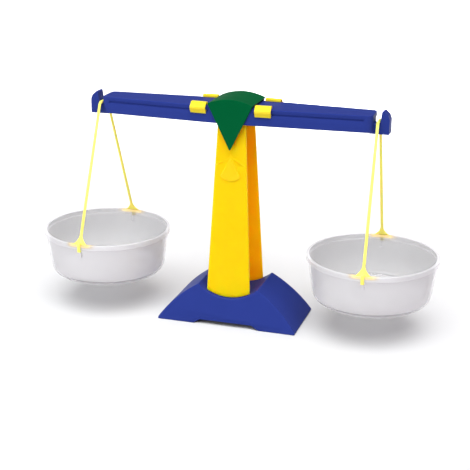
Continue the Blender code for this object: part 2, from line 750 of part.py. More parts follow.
def pan_profile():
    """Section of a pan, from the middle of its floor over the rim and down to the middle of its foot."""
    inner = [
        (0, PAN_WALL - PAN_HEIGHT, 0),
        (PAN_FOOT_RADIUS - PAN_WALL, PAN_WALL - PAN_HEIGHT, PAN_CORNER_RADIUS - PAN_WALL),
        (PAN_WALL_TOP_RADIUS - PAN_WALL, 0, PAN_WALL / 4),
    ]
    outer = [
        (PAN_RADIUS, 0, PAN_WALL / 2),
        (PAN_RADIUS, -PAN_LIP_HEIGHT, PAN_WALL / 4),
        (PAN_WALL_TOP_RADIUS, -PAN_LIP_HEIGHT, 0),
        (PAN_FOOT_RADIUS, -PAN_HEIGHT, PAN_CORNER_RADIUS),
        (0, -PAN_HEIGHT, 0),
    ]
    return rounded(inner + outer, 5)


def make_pan(name, end, material):
    pan = turned_part(name, pan_profile(), PAN_STEPS, material, (end * ARM_LENGTH, 0, RIM_Z))
    high = -PAN_LIP_HEIGHT - BARB_HEIGHT - 2 * GAP
    near = wall_inner_radius(-high + STOP_HEIGHT) + PAN_WALL / 2
    for side in (-1, 1):
        ends = sorted((side * near, side * (PAN_WALL_TOP_RADIUS + STOP_PROUD)))
        stop = box_mesh(
            name + "_stop", (-STOP_HALF_WIDTH, ends[0], high - STOP_HEIGHT), (STOP_HALF_WIDTH, ends[1], high)
        )
        tool = add_tool(name + "_stop", stop, pan.location)
        tool.rotation_euler = (0, 0, end * HANGER_TWIST)
        join(pan, tool)
    pan.rotation_euler = (0, 0, end * HANGER_TWIST)
    return pan


def hook_outline():
    """Side view of a foot's tongue in Y and Z: over the rim, down the lip's face and under its edge."""
    inner_y = foot_distance() - FLARE_THICKNESS / 2
    face_y = PAN_RADIUS + GAP
    tongue_y = face_y + TONGUE_THICKNESS
    barb_y = PAN_RADIUS - BARB_REACH
    barb_z = -PAN_LIP_HEIGHT - GAP
    return [
        (inner_y, GAP),
        (inner_y, GAP + BRIDGE_THICKNESS),
        (tongue_y - BRIDGE_THICKNESS / 2, GAP + BRIDGE_THICKNESS),
        (tongue_y, GAP + BRIDGE_THICKNESS / 2),
        (tongue_y, barb_z - BARB_HEIGHT / 2),
        (tongue_y - TONGUE_THICKNESS / 2, barb_z - BARB_HEIGHT),
        (face_y, barb_z - BARB_HEIGHT),
        (barb_y, barb_z - BARB_HEIGHT / 3),
        (barb_y, barb_z),
        (face_y, barb_z),
        (face_y, GAP),
    ]


def foot_distance():
    """Distance from the pan's middle to the middle of the foot, over the top of the rim."""
    return (PAN_RADIUS + PAN_WALL_TOP_RADIUS - PAN_WALL) / 2


def flare_outline():
    """The foot's flared plate in X and Z, widening in a curve down to the rim."""
    steps = 2 * ARC_STEPS
    narrow = ROD_RADIUS * 0.8
    right = []
    for index in range(steps + 1):
        share = index / steps
        width = narrow + (FLARE_HALF_WIDTH - narrow) * (1 - share) ** 2.2
        right.append((width, GAP + FLARE_HEIGHT * share))
    return right + [(-x, z) for x, z in reversed(right)]


def bar_half_length():
    """Half the length of a bail's bar, from the middle of the notch to the leg's bend."""
    return TAB_HALF_DEPTH + ROD_RADIUS + 2 * GAP


def leg_lean():
    """How far a bail's leg moves inwards for each step up."""
    return (foot_distance() - bar_half_length()) / (HANGER_DROP - GAP)


def bail_curve(name):
    """The bent rod of a bail, from its front foot over the beam to its back foot."""
    foot_y = foot_distance() - leg_lean() * ROD_RADIUS
    foot_z = -HANGER_DROP + GAP + ROD_RADIUS
    path = rounded([
        (-foot_y, foot_z, 0),
        (-bar_half_length(), 0, ROD_BEND),
        (bar_half_length(), 0, ROD_BEND),
        (foot_y, foot_z, 0),
    ], ARC_STEPS)
    curve = bpy.data.curves.new(name, "CURVE")
    curve.dimensions = "3D"
    curve.bevel_depth = ROD_RADIUS
    curve.bevel_resolution = 3
    curve.use_fill_caps = True
    spline = curve.splines.new("POLY")
    spline.points.add(len(path) - 1)
    for point, (y, z) in zip(spline.points, path):
        point.co = (0, y, z, 1)
    return curve


def make_hanger(name, end, material):
    place = Vector((end * ARM_LENGTH, 0, ROD_Z))
    rim = place - Vector((0, 0, HANGER_DROP))
    turn = (0, 0, end * HANGER_TWIST)
    hanger = add_part(name, curve_mesh(name, bail_curve(name)), material, place)
    hanger.rotation_euler = turn
    for side in (-1, 1):
        middle = side * foot_distance()
        half = FLARE_THICKNESS / 2
        flare = plate_mesh(name + "_flare", flare_outline(), middle - half, middle + half)
        for vertex in flare.vertices:
            vertex.co.y -= side * leg_lean() * (vertex.co.z - GAP)
        hook = side_mesh(name + "_hook", [(side * y, z) for y, z in hook_outline()], TONGUE_HALF_WIDTH)
        for mesh in (flare, hook):
            tool = add_tool(mesh.name, mesh, rim)
            tool.rotation_euler = turn
            join(hanger, tool)
    return hanger


def build():
    blue = make_material("blue plastic", (0.04, 0.09, 0.36), 0.38)
    yellow = make_material("yellow plastic", (0.93, 0.68, 0.01), 0.36)
    green = make_material("green plastic", (0.0, 0.17, 0.07), 0.34)
    straw = make_material("straw plastic", (0.86, 0.78, 0.24), 0.4)
    frosted = make_material("frosted plastic", (0.78, 0.8, 0.82), 0.5)
    steel = make_material("bright steel", (0.6, 0.6, 0.62), 0.3, 1.0)

    make_base(blue)
    make_column(yellow)
    make_screw("base_screw_front", -1, steel)
    make_screw("base_screw_back", 1, steel)

    tilt_axis = add_axis("beam_tilt_axis", (0, 0, PIVOT_Z))
    for part in (make_beam(blue), make_pin(steel), make_pointer(green)):
        hang_on(tilt_axis, part)
    for clip in make_clips(yellow):
        hang_on(tilt_axis, clip)

    for end, end_name in ((-1, "left"), (1, "right")):
        swing_axis = add_axis("hanger_" + end_name + "_axis", (end * ARM_LENGTH, 0, ROD_Z))
        hang_on(swing_axis, make_hanger("hanger_" + end_name, end, straw))
        hang_on(swing_axis, make_pan("pan_" + end_name, end, frosted))
        hang_on(tilt_axis, swing_axis)

    for part in PARTS.objects:
        if part.type == "MESH":
            smooth(part)


clear_scene()
PARTS = make_collection("balance scale")
CUTTERS = make_collection("cutters")
build()
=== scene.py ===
"""Balance scale with two hanging pans: its looks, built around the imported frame, in metres, +Z up."""
import math

import bmesh
import bpy
from mathutils import Matrix, Vector


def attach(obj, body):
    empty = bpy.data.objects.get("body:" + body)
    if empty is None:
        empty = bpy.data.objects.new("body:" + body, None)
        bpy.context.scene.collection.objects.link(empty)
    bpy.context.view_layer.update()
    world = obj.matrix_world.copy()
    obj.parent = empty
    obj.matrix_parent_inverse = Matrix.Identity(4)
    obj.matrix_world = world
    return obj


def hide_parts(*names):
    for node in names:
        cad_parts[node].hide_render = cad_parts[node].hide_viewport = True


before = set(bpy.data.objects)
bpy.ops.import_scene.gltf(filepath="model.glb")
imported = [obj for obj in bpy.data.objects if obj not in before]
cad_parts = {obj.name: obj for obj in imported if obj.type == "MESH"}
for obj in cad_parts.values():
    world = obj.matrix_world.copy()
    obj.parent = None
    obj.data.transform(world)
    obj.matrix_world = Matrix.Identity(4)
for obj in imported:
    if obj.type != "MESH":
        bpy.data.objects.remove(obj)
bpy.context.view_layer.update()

# Fits and edges, shared by every piece
GAP = 0.0003
OVERRUN = 0.004
WELD = 0.00001
WALL = 0.0022
FINE_EDGE = 0.00025
FINE_SEGMENTS = 2
BROAD_SEGMENTS = 4
SAME_FACE_ANGLE = math.radians(0.1)
SOFT_EDGE_ANGLE = math.radians(35)
SMOOTH_ANGLE = math.radians(32)
STAND_UP = Matrix.Rotation(math.radians(90), 4, "X")
ARC_STEPS = 8
SMALL_ARC_STEPS = 4
ROUND_STEPS = 48
SIDES = ((-1, "front"), (1, "back"))
ENDS = ((-1, "left"), (1, "right"))

# Base
BASE_HALF_LENGTH = 0.0746
BASE_HALF_DEPTH = 0.0369
BASE_TOP_HALF_DEPTH = 0.0288
BASE_HEIGHT = 0.0415
BASE_SKIRT_HEIGHT = 0.0022
BASE_RIDGE_X = 0.0322
BASE_SLOPE_BULGE = 0.0032
BASE_EDGE = 0.0009
SADDLE_DEPTH = 0.0123
FOOT_LAND_X = 0.0360
FOOT_ARCH_HEIGHT = 0.0046
FOOT_ARCH_RUN = 0.0080

# Column
PIVOT_ABOVE_SADDLE = 0.1948
COLUMN_FOOT_HALF_WIDTH = 0.0232
COLUMN_HEAD_HALF_WIDTH = 0.0143
COLUMN_FOOT_HALF_DEPTH = 0.0266
COLUMN_HEAD_HALF_DEPTH = 0.0162
PANEL_THICKNESS = 0.0024
PANEL_CROWN = 0.0004
PANEL_EDGE = 0.0006
PANEL_COLUMNS = 16
PANEL_ROWS = 44
PANEL_SMOOTH_ANGLE = math.radians(20)
WEB_THICKNESS = 0.0024
WEB_BELOW_PIVOT = 0.0080
TILT_LIMIT = math.radians(8)
BOSS_RADIUS = 0.0040
BOSS_HEIGHT = 0.0150
BOSS_Y = 0.0120
ZERO_MARK_BELOW_PIVOT = 0.0455
ZERO_MARK_HALF_WIDTH = 0.0105
ZERO_MARK_SIDE_HEIGHT = 0.0201
ZERO_MARK_APEX_RADIUS = 0.0014
ZERO_MARK_SAG = 0.0050
ZERO_MARK_RAISE = 0.0010
BROW_DROP = 0.0085
BROW_WIDTH = 0.0008
BROW_RAISE = 0.00025
BROW_STEPS = 6
BROW_FACE_SHARE = 0.4
MARK_CHAMFER = 0.00025

# Screws and pivot pin
SCREW_SHANK_RADIUS = 0.0013
SCREW_HEAD_RADIUS = 0.0029
SCREW_HEAD_HEIGHT = 0.0019
SCREW_HEAD_FLAT_SHARE = 0.8
SCREW_GRIP = 0.0095
SCREW_RECESS_WIDTH = 0.0007
SCREW_RECESS_LENGTH = 0.0032
SCREW_RECESS_DEPTH = 0.0009
PIN_RADIUS = 0.00175
PIN_CHAMFER = 0.0004

# Beam
BEAM_TOP_ABOVE_PIVOT = 0.0060
BEAM_HEIGHT = 0.0172
BEAM_MID_HALF_WIDTH = 0.0218
BEAM_END_HALF_WIDTH = 0.0146
BEAM_BODY_HALF_LENGTH = 0.1415
BEAM_CORNER_RADIUS = 0.0055
END_CUT_RUN = 0.0066
END_CUT_INWARD_SHARE = 1.2
BEAM_EDGE = 0.0008
BEAM_BOSS_RADIUS = 0.0042
RAIL_HEIGHT = 0.0043
GROOVE_HEIGHT = 0.0017
GROOVE_DEPTH = 0.0009
GROOVE_END_MARGIN = 0.0085
NOTCH_WIDTH = 0.0062
TAB_HALF_DEPTH = 0.0065
TAB_WIDTH = 0.0094
TAB_LEAN = 0.0014
TAB_RISE = 0.0034
TAB_SHOULDER_DROP = 0.0085
TAB_BOTTOM_DROP = 0.0024
TAB_WALL = 0.0018
NOTCH_FLOOR_THICKNESS = 0.0022

# Hangers, each a bent rod with a flared foot and a hook at each end
ROD_BEYOND_BEAM = 0.0041
ROD_BELOW_PIVOT = 0.0018
ROD_RADIUS = 0.0015
ROD_BEND = 0.0026
ROD_SIDES = 32
ROD_SMOOTH_ANGLE = math.radians(40)
HANGER_DROP = 0.1380
HANGER_TWIST = math.radians(2.5)
FLARE_HALF_WIDTH = 0.0073
FLARE_HALF_THICKNESS = 0.00145
FLARE_HEIGHT = 0.0100
FLARE_POWER = 2.2
FLARE_EDGE = 0.0004
FLARE_EDGE_SHARE = 0.6
FOOT_POWER = 3
HOOK_ARC_STEPS = 5
TONGUE_HALF_WIDTH = 0.0017
TONGUE_THICKNESS = 0.0015
BRIDGE_THICKNESS = 0.0018
BRIDGE_ROUND_SHARE = 0.6
BARB_HEIGHT = 0.0015
BARB_REACH = 0.0014

# Pans
PAN_RADIUS = 0.0674
PAN_HEIGHT = 0.0490
PAN_WALL = 0.0018
PAN_LIP_WIDTH = 0.0020
PAN_LIP_HEIGHT = 0.0060
PAN_LIP_ROUND = 0.0012
PAN_TAPER = 0.0052
PAN_CORNER_RADIUS = 0.0130
PAN_RECESS_RADIUS = 0.0440
PAN_RECESS_DEPTH = 0.0004
PAN_STEPS = 192
PAN_ARC_STEPS = 10
STOP_HALF_WIDTH = 0.0017
STOP_HEIGHT = 0.0058
STOP_PROUD = 0.0014

# Pointer
POINTER_HALF_WIDTH = 0.0236
POINTER_CORNER_ABOVE_BEAM = 0.0029
POINTER_CROWN = 0.0051
POINTER_TIP_BELOW_PIVOT = 0.0384
POINTER_PLATE = 0.0018
POINTER_ROOF = 0.0017
POINTER_TIP_RADIUS = 0.0007
POINTER_CORNER_RADIUS = 0.0009
POINTER_EDGE = 0.00045
POINTER_ARC_STEPS = 5

# Sliding clips
CLIP_LENGTH = 0.0164
CLIP_CENTRE_X = 0.0336
CLIP_WALL = 0.0013
CLIP_TOP_ABOVE_BEAM = 0.0033
CLIP_BULGE = 0.0036
CLIP_OVERLAP = 0.0050
CLIP_SKIRT = 0.0022
CLIP_NOSE_HALF_HEIGHT = 0.0010
CLIP_LIP_REACH = 0.0006
CLIP_FOOT_SHARE = 0.7

# Heights and places that follow
SADDLE_LOW_Z = BASE_HEIGHT - SADDLE_DEPTH
SADDLE_RADIUS = (BASE_RIDGE_X ** 2 + SADDLE_DEPTH ** 2) / (2 * SADDLE_DEPTH)
SADDLE_CENTRE_Z = SADDLE_LOW_Z + SADDLE_RADIUS
PIVOT_Z = SADDLE_LOW_Z + PIVOT_ABOVE_SADDLE
MARK_APEX_Z = PIVOT_Z - ZERO_MARK_BELOW_PIVOT
BEAM_TOP_Z = PIVOT_Z + BEAM_TOP_ABOVE_PIVOT
BEAM_BOTTOM_Z = BEAM_TOP_Z - BEAM_HEIGHT
ROD_Z = PIVOT_Z - ROD_BELOW_PIVOT
RIM_Z = ROD_Z - HANGER_DROP
NOTCH_FLOOR_Z = ROD_Z - ROD_RADIUS - GAP
RAIL_Z = BEAM_TOP_Z - RAIL_HEIGHT
PAN_WALL_TOP_RADIUS = PAN_RADIUS - PAN_LIP_WIDTH
PAN_FOOT_RADIUS = PAN_WALL_TOP_RADIUS - PAN_TAPER
PAN_SLOPE = PAN_TAPER / (PAN_HEIGHT - PAN_LIP_HEIGHT)
ARM_LENGTH = BEAM_BODY_HALF_LENGTH + ROD_BEYOND_BEAM
GROOVE_HALF_LENGTH = BEAM_BODY_HALF_LENGTH - GROOVE_END_MARGIN
TAB_INNER_X = BEAM_BODY_HALF_LENGTH + NOTCH_WIDTH
TAB_OUTER_X = TAB_INNER_X + TAB_WIDTH
FOOT_DISTANCE = (PAN_RADIUS + PAN_WALL_TOP_RADIUS - PAN_WALL) / 2
BAR_HALF_LENGTH = TAB_HALF_DEPTH + ROD_RADIUS + 2 * GAP
LEG_LEAN = (FOOT_DISTANCE - BAR_HALF_LENGTH) / (HANGER_DROP - GAP)

# Camera, fitted to the photograph
CAMERA_LENS = 89.70
CAMERA_SENSOR = 36
CAMERA_AZIMUTH = math.radians(17.17)
CAMERA_ELEVATION = math.radians(18.65)
CAMERA_ROLL = math.radians(0.37)
CAMERA_TARGET = (-0.00097, 0, 0.08932)
CAMERA_DISTANCE = 1.2269

# Mouldings: light inside the pale ones, drifts of colour and gloss, fine grain, and sharp edges made paler,
# partly as wear and partly as a painted highlight
SUBSURFACE_RADIUS = (1.0, 0.45, 0.08)
SUBSURFACE_SCALE = 0.008
DRIFT_SCALE = 38
DRIFT_DETAIL = 4
GLOSS_SCALE = 210
GLOSS_DETAIL = 3
GLOSS_SPREAD = 0.05
GRAIN_SCALE = 1400
GRAIN_DETAIL = 2
GRAIN_HEIGHT = 0.00001
EDGE_WEAR_AND_HIGHLIGHT_START = 0.52
EDGE_WEAR_AND_HIGHLIGHT_END = 0.60
EDGE_WEAR_AND_HIGHLIGHT_SHARE = 0.16
EDGE_WEAR_AND_HIGHLIGHT_LIFT = 0.1
EDGE_WEAR_AND_HIGHLIGHT_GAIN = 1.1

# Screws and pin
STEEL_COLOR = (0.60, 0.60, 0.62)
STEEL_ROUGHNESS = (0.22, 0.38)
STEEL_SCALE = 900

# Pans: how milky they are, the painted shade inside their walls, painted light outside (paler low down,
# greyer at the lip) and the hangers' yellow painted beside their feet as bounce light
PAN_PLACE = "pan_place"
PAN_IOR = 1.49
PAN_ROUGHNESS = (0.07, 0.16)
PAN_DRIFT_SCALE = 60
PAN_MILK_DEEP = (0.90, 0.915, 0.93)
PAN_MILK_PALE = (0.97, 0.98, 0.99)
# Painted light on the outside: greyer up at the lip, while the wall low down stays paler
PAN_LIP_PAINTED_GREY = (0.88, 0.89, 0.91)
# Painted shade on the pan's floor, lighter than the painted shade inside its walls
PAN_FLOOR_PAINTED_SHADE = (0.62, 0.63, 0.64)
PAN_GLOW_REACH = 0.006
PAN_GLOW_RADIUS = (1.0, 1.0, 1.0)
# Painted shade inside the pan's walls, much darker than the outside
PAN_PAINTED_SHADE_DEEP = (0.15, 0.152, 0.155)
PAN_PAINTED_SHADE_PALE = (0.23, 0.232, 0.235)
PAN_VEIL_LOW = 0.006
PAN_VEIL_HIGH = 0.036
PAN_LOW_VEIL = 0.34
PAN_HIGH_VEIL = 0.44
PAN_FLOOR_VEIL = 0.54
PAN_FLOOR_TOP = 0.003
PAN_FLOOR_FADE = 0.005
# Painted yellow bounce light on the pan beside each hanger's foot, and the opacity that carries it
FOOT_PAINTED_BOUNCE = (0.95, 0.72, 0.28)
FOOT_PAINTED_BOUNCE_REACH = 0.018
FOOT_PAINTED_BOUNCE_FADE = 0.010
FOOT_PAINTED_BOUNCE_HEIGHT = 0.0045
FOOT_PAINTED_BOUNCE_VEIL = 0.75

# Rows of nodes in the editor
NODES_IN_ROW = 8
NODE_STEP = 220

# Studio
WHITE = (1.0, 1.0, 1.0)
WORLD_FILL = (0.40, 0.37, 0.40)
WORLD_RISE = (0.06, 0.20)
WORLD_LEFT = (1.0, 1.06, 1.04)
WORLD_RIGHT = (0.52, 0.34, 0.40)
WORLD_IN_GLOSS = 0.45
FLOOR_REACH = 30
FLOOR_SEEN = (0.63, 0.645, 0.645)
FLOOR_NEAR = 0.45
FLOOR_FAR = 1.2
FLOOR_FAR_GLOW = 0.4
FLOOR_BOUNCE = (0.55, 0.53, 0.55)
FLOOR_ROUGHNESS = 0.9
OVERHEAD_FROM = (0.12, -0.42, 1.0)
OVERHEAD_STRENGTH = 4.2
OVERHEAD_ANGLE = math.radians(58)
FRONT_PLACE = (-0.85, -1.25, 0.42)
FRONT_AIM = (0.0, 0.0, 0.14)
FRONT_SIZE = 0.9
FRONT_POWER = 6.5
BACK_PLACE = (-0.10, 1.3, 0.12)
BACK_AIM = (0.0, 0.0, 0.12)
BACK_SIZE = 0.4
BACK_POWER = 18.0


def add_object(name, data):
    item = bpy.data.objects.new(name, data)
    bpy.context.scene.collection.objects.link(item)
    return item


def worked_out(holder, others=()):
    """The mesh of an object with its modifiers applied; the object and its helpers go."""
    depsgraph = bpy.context.evaluated_depsgraph_get()
    mesh = bpy.data.meshes.new_from_object(holder.evaluated_get(depsgraph))
    name = holder.name
    for item in (holder, *others):
        bpy.data.objects.remove(item, do_unlink=True)
    mesh.name = name
    return mesh


def cleaned(mesh, flat_angle=SAME_FACE_ANGLE):
    """Welds a mesh, joins its flat faces and turns them outwards."""
    solid = bmesh.new()
    solid.from_mesh(mesh)
    bmesh.ops.remove_doubles(solid, verts=solid.verts, dist=WELD)
    bmesh.ops.dissolve_limit(solid, angle_limit=flat_angle, verts=solid.verts, edges=solid.edges)
    bmesh.ops.recalc_face_normals(solid, faces=solid.faces)
    solid.to_mesh(mesh)
    solid.free()
    return mesh


def combined(mesh, *steps, flat_angle=SAME_FACE_ANGLE):
    """A mesh after booleans, each given as (operation, mesh)."""
    holder = add_object(mesh.name, mesh)
    tools = []
    for operation, tool in steps:
        other = add_object(tool.name, tool)
        modifier = holder.modifiers.new(tool.name, "BOOLEAN")
        modifier.operation = operation
        modifier.solver = "EXACT"
        modifier.object = other
        tools.append(other)
    return cleaned(worked_out(holder, tools), flat_angle)


def softened(mesh, width, segments=3):
    """A mesh with its sharp edges rounded and its flat faces shaded flat."""
    mesh.shade_smooth()
    holder = add_object(mesh.name, mesh)
    bevel = holder.modifiers.new("soft edges", "BEVEL")
    bevel.width = width
    bevel.segments = segments
    bevel.limit_method = "ANGLE"
    bevel.angle_limit = SOFT_EDGE_ANGLE
    bevel.harden_normals = True
    bevel.use_clamp_overlap = False
    bevel.miter_outer = "MITER_ARC"
    return worked_out(holder)


def arc_points(centre, radius, start, end, steps):
    """Points on a circle from one angle to another, ends included."""
    angles = [start + (end - start) * index / steps for index in range(steps + 1)]
    return [(centre[0] + radius * math.cos(angle), centre[1] + radius * math.sin(angle)) for angle in angles]


def bowed(start, end, sagitta, steps):
    """Points on a shallow arc from start to end, bowed to the left of the way it goes."""
    first, last = Vector(start), Vector(end)
    chord = last - first
    side = Vector((-chord.y, chord.x)).normalized()
    radius = (chord.length ** 2 / 4 + sagitta ** 2) / (2 * sagitta)
    centre = (first + last) / 2 - side * (radius - sagitta)
    angle = math.atan2(first.y - centre.y, first.x - centre.x)
    turn = -2 * math.asin(chord.length / (2 * radius))
    return arc_points(centre, abs(radius), angle, angle + turn, steps)


def rounded(corners, steps=ARC_STEPS):
    """Outline through corners given as (x, y, radius), with an arc at each that has a radius."""
    outline = []
    for index, (x, y, radius) in enumerate(corners):
        here = Vector((x, y))
        if radius == 0:
            outline.append((x, y))
            continue
        before = (Vector(corners[index - 1][:2]) - here).normalized()
        after = (Vector(corners[(index + 1) % len(corners)][:2]) - here).normalized()
        half_angle = before.angle(after) / 2
        centre = here + (before + after).normalized() * (radius / math.sin(half_angle))
        reach = radius / math.tan(half_angle)
        start = here + before * reach - centre
        end = here + after * reach - centre
        first = math.atan2(start.y, start.x)
        turn = (math.atan2(end.y, end.x) - first + math.pi) % (2 * math.pi) - math.pi
        outline.extend(arc_points(centre, radius, first, first + turn, steps))
    return outline


def inset(outline, distance):
    """Closed outline moved inwards by a distance; the outline runs clockwise."""
    moved = []
    for index, point in enumerate(outline):
        here = Vector(point)
        before = (here - Vector(outline[index - 1])).normalized()
        after = (Vector(outline[(index + 1) % len(outline)]) - here).normalized()
        normal_before = Vector((before.y, -before.x))
        normal_after = Vector((after.y, -after.x))
        middle = (normal_before + normal_after).normalized()
        moved.append(here + middle * (distance / middle.dot(normal_before)))
    return [(point.x, point.y) for point in moved]


def outline_mesh(name, outline, half_thickness):
    """A flat outline in X and Y, filled and extruded to both sides along Z."""
    curve = bpy.data.curves.new(name, "CURVE")
    curve.dimensions = "2D"
    curve.fill_mode = "BOTH"
    curve.extrude = half_thickness
    spline = curve.splines.new("POLY")
    spline.points.add(len(outline) - 1)
    for point, (x, y) in zip(spline.points, outline):
        point.co = (x, y, 0, 1)
    spline.use_cyclic_u = True
    return cleaned(worked_out(add_object(name, curve)))


def plate_mesh(name, outline, low_y, high_y):
    """An outline in X and Z, from one Y to another."""
    mesh = outline_mesh(name, outline, (high_y - low_y) / 2)
    mesh.transform(STAND_UP)
    mesh.transform(Matrix.Translation((0, (low_y + high_y) / 2, 0)))
    return mesh


def side_mesh(name, outline, half_width):
    """An outline in Y and Z, extruded to both sides along X."""
    mesh = outline_mesh(name, outline, half_width)
    mesh.transform(Matrix(((0, 0, 1, 0), (1, 0, 0, 0), (0, 1, 0, 0), (0, 0, 0, 1))))
    return mesh


def plan_mesh(name, outline, low_z, high_z):
    """An outline in X and Y, from one height to another."""
    mesh = outline_mesh(name, outline, (high_z - low_z) / 2)
    mesh.transform(Matrix.Translation((0, 0, (low_z + high_z) / 2)))
    return mesh


def box_mesh(name, low, high):
    outline = [(low[0], low[1]), (low[0], high[1]), (high[0], high[1]), (high[0], low[1])]
    return plan_mesh(name, outline, low[2], high[2])


def rod_mesh(name, radius, length, along, place):
    """A round rod along Y or Z, centred on a place."""
    solid = bmesh.new()
    bmesh.ops.create_cone(
        solid, cap_ends=True, segments=ROUND_STEPS, radius1=radius, radius2=radius, depth=length
    )
    mesh = bpy.data.meshes.new(name)
    solid.to_mesh(mesh)
    solid.free()
    if along == "Y":
        mesh.transform(STAND_UP)
    mesh.transform(Matrix.Translation(place))
    return mesh


def turned_mesh(name, profile, steps):
    """A profile of (radius, height) points turned about Z; its outer side runs downwards."""
    mesh = bpy.data.meshes.new(name)
    edges = [(index, index + 1) for index in range(len(profile) - 1)]
    mesh.from_pydata([(radius, 0, height) for radius, height in profile], edges, [])
    holder = add_object(name, mesh)
    screw = holder.modifiers.new("turned", "SCREW")
    screw.steps = steps
    screw.render_steps = steps
    screw.use_merge_vertices = True
    screw.merge_threshold = WELD
    return worked_out(holder)


def skinned(name, rings, caps):
    """A closed skin over rings of as many points each; caps are the faces at its ends."""
    count = len(rings[0])
    faces = []
    for row in range(len(rings) - 1):
        for index in range(count):
            after = (index + 1) % count
            low = row * count
            high = low + count
            faces.append((low + index, low + after, high + after, high + index))
    mesh = bpy.data.meshes.new(name)
    mesh.from_pydata([point for ring in rings for point in ring], [], faces + caps)
    solid = bmesh.new()
    solid.from_mesh(mesh)
    bmesh.ops.recalc_face_normals(solid, faces=solid.faces)
    solid.to_mesh(mesh)
    solid.free()
    return mesh


def lofted_mesh(name, rings):
    """A skin over rings of points, closed by one face at each end."""
    count = len(rings[0])
    last = (len(rings) - 1) * count
    return skinned(name, rings, [tuple(reversed(range(count))), tuple(range(last, last + count))])


def capped_grid(name, rings):
    """A plate over rows that each run along its outer face and back along its inner face."""
    count = len(rings[0])
    caps = []
    for low in (0, (len(rings) - 1) * count):
        for index in range(count // 2 - 1):
            back = count - 1 - index
            caps.append((low + index, low + index + 1, low + back - 1, low + back))
    return skinned(name, rings, caps)


def turned_round(mesh):
    """A mesh turned half round about the upright axis."""
    mesh.transform(Matrix.Rotation(math.pi, 4, "Z"))
    return mesh


def place_piece(name, mesh, material, body, node, location=(0, 0, 0), angle=0.0):
    """Puts a finished mesh where its node is and lets it ride on that node's body."""
    piece = add_object(name, mesh)
    mesh.materials.clear()
    mesh.materials.append(material)
    mesh.transform(Matrix.Translation(location) @ Matrix.Rotation(angle, 4, "Z"))
    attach(piece, body)
    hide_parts(node)


def smooth(mesh, angle=SMOOTH_ANGLE):
    mesh.shade_smooth()
    mesh.set_sharp_from_angle(angle=angle)
    return mesh


def lean_walls(mesh, inward):
    """Leans the base's long walls together as they rise, and moves them inwards."""
    for vertex in mesh.vertices:
        depth = BASE_HALF_DEPTH - (BASE_HALF_DEPTH - BASE_TOP_HALF_DEPTH) * vertex.co.z / BASE_HEIGHT
        vertex.co.y = math.copysign(depth - inward, vertex.co.y)
    return mesh


def base_profile(extension):
    """Outline of the base in X and Z, clockwise from its lower left corner."""
    skirt_top = (-BASE_HALF_LENGTH, BASE_SKIRT_HEIGHT)
    left = bowed(skirt_top, (-BASE_RIDGE_X, BASE_HEIGHT), BASE_SLOPE_BULGE, 3 * ARC_STEPS)
    left.insert(0, (-BASE_HALF_LENGTH, -extension))
    half_turn = math.asin(BASE_RIDGE_X / SADDLE_RADIUS)
    start, end = -math.pi / 2 - half_turn, -math.pi / 2 + half_turn
    saddle = arc_points((0, SADDLE_CENTRE_Z), SADDLE_RADIUS, start, end, 5 * ARC_STEPS + 1)
    right = [(-x, z) for x, z in reversed(left)]
    return left + saddle[1:-1] + right


def base_mesh():
    outer = lean_walls(plate_mesh("base", base_profile(0), -BASE_HALF_DEPTH, BASE_HALF_DEPTH), 0)
    outer = softened(outer, BASE_EDGE, BROAD_SEGMENTS)
    profile = inset(base_profile(WALL + OVERRUN), WALL)
    hollow = lean_walls(plate_mesh("base_hollow", profile, -BASE_HALF_DEPTH, BASE_HALF_DEPTH), WALL)
    arch_low_x = FOOT_LAND_X + FOOT_ARCH_RUN * OVERRUN / FOOT_ARCH_HEIGHT
    arch_high_x = FOOT_LAND_X - FOOT_ARCH_RUN
    arch = [
        (-arch_low_x, -OVERRUN),
        (-arch_high_x, FOOT_ARCH_HEIGHT),
        (arch_high_x, FOOT_ARCH_HEIGHT),
        (arch_low_x, -OVERRUN),
    ]
    reach = BASE_HALF_DEPTH + OVERRUN
    steps = [("DIFFERENCE", hollow), ("DIFFERENCE", plate_mesh("foot_arch", arch, -reach, reach))]
    for side in (-1, 1):
        place = (0, side * BOSS_Y, SADDLE_LOW_Z - WALL / 2)
        hole = rod_mesh("screw_hole", SCREW_SHANK_RADIUS + GAP, 2 * (WALL + OVERRUN), "Z", place)
        steps.append(("DIFFERENCE", hole))
    return softened(combined(outer, *steps), FINE_EDGE, FINE_SEGMENTS)


def column_share(height):
    """How far a height is from the column's foot, at 0, to its pivot, at 1."""
    return (height - SADDLE_LOW_Z) / PIVOT_ABOVE_SADDLE


def panel_half_width(height):
    return COLUMN_FOOT_HALF_WIDTH + (COLUMN_HEAD_HALF_WIDTH - COLUMN_FOOT_HALF_WIDTH) * column_share(height)


def panel_depth(height):
    """Distance of a panel's outer face from the middle plane, at the panel's long edges."""
    return COLUMN_FOOT_HALF_DEPTH + (COLUMN_HEAD_HALF_DEPTH - COLUMN_FOOT_HALF_DEPTH) * column_share(height)


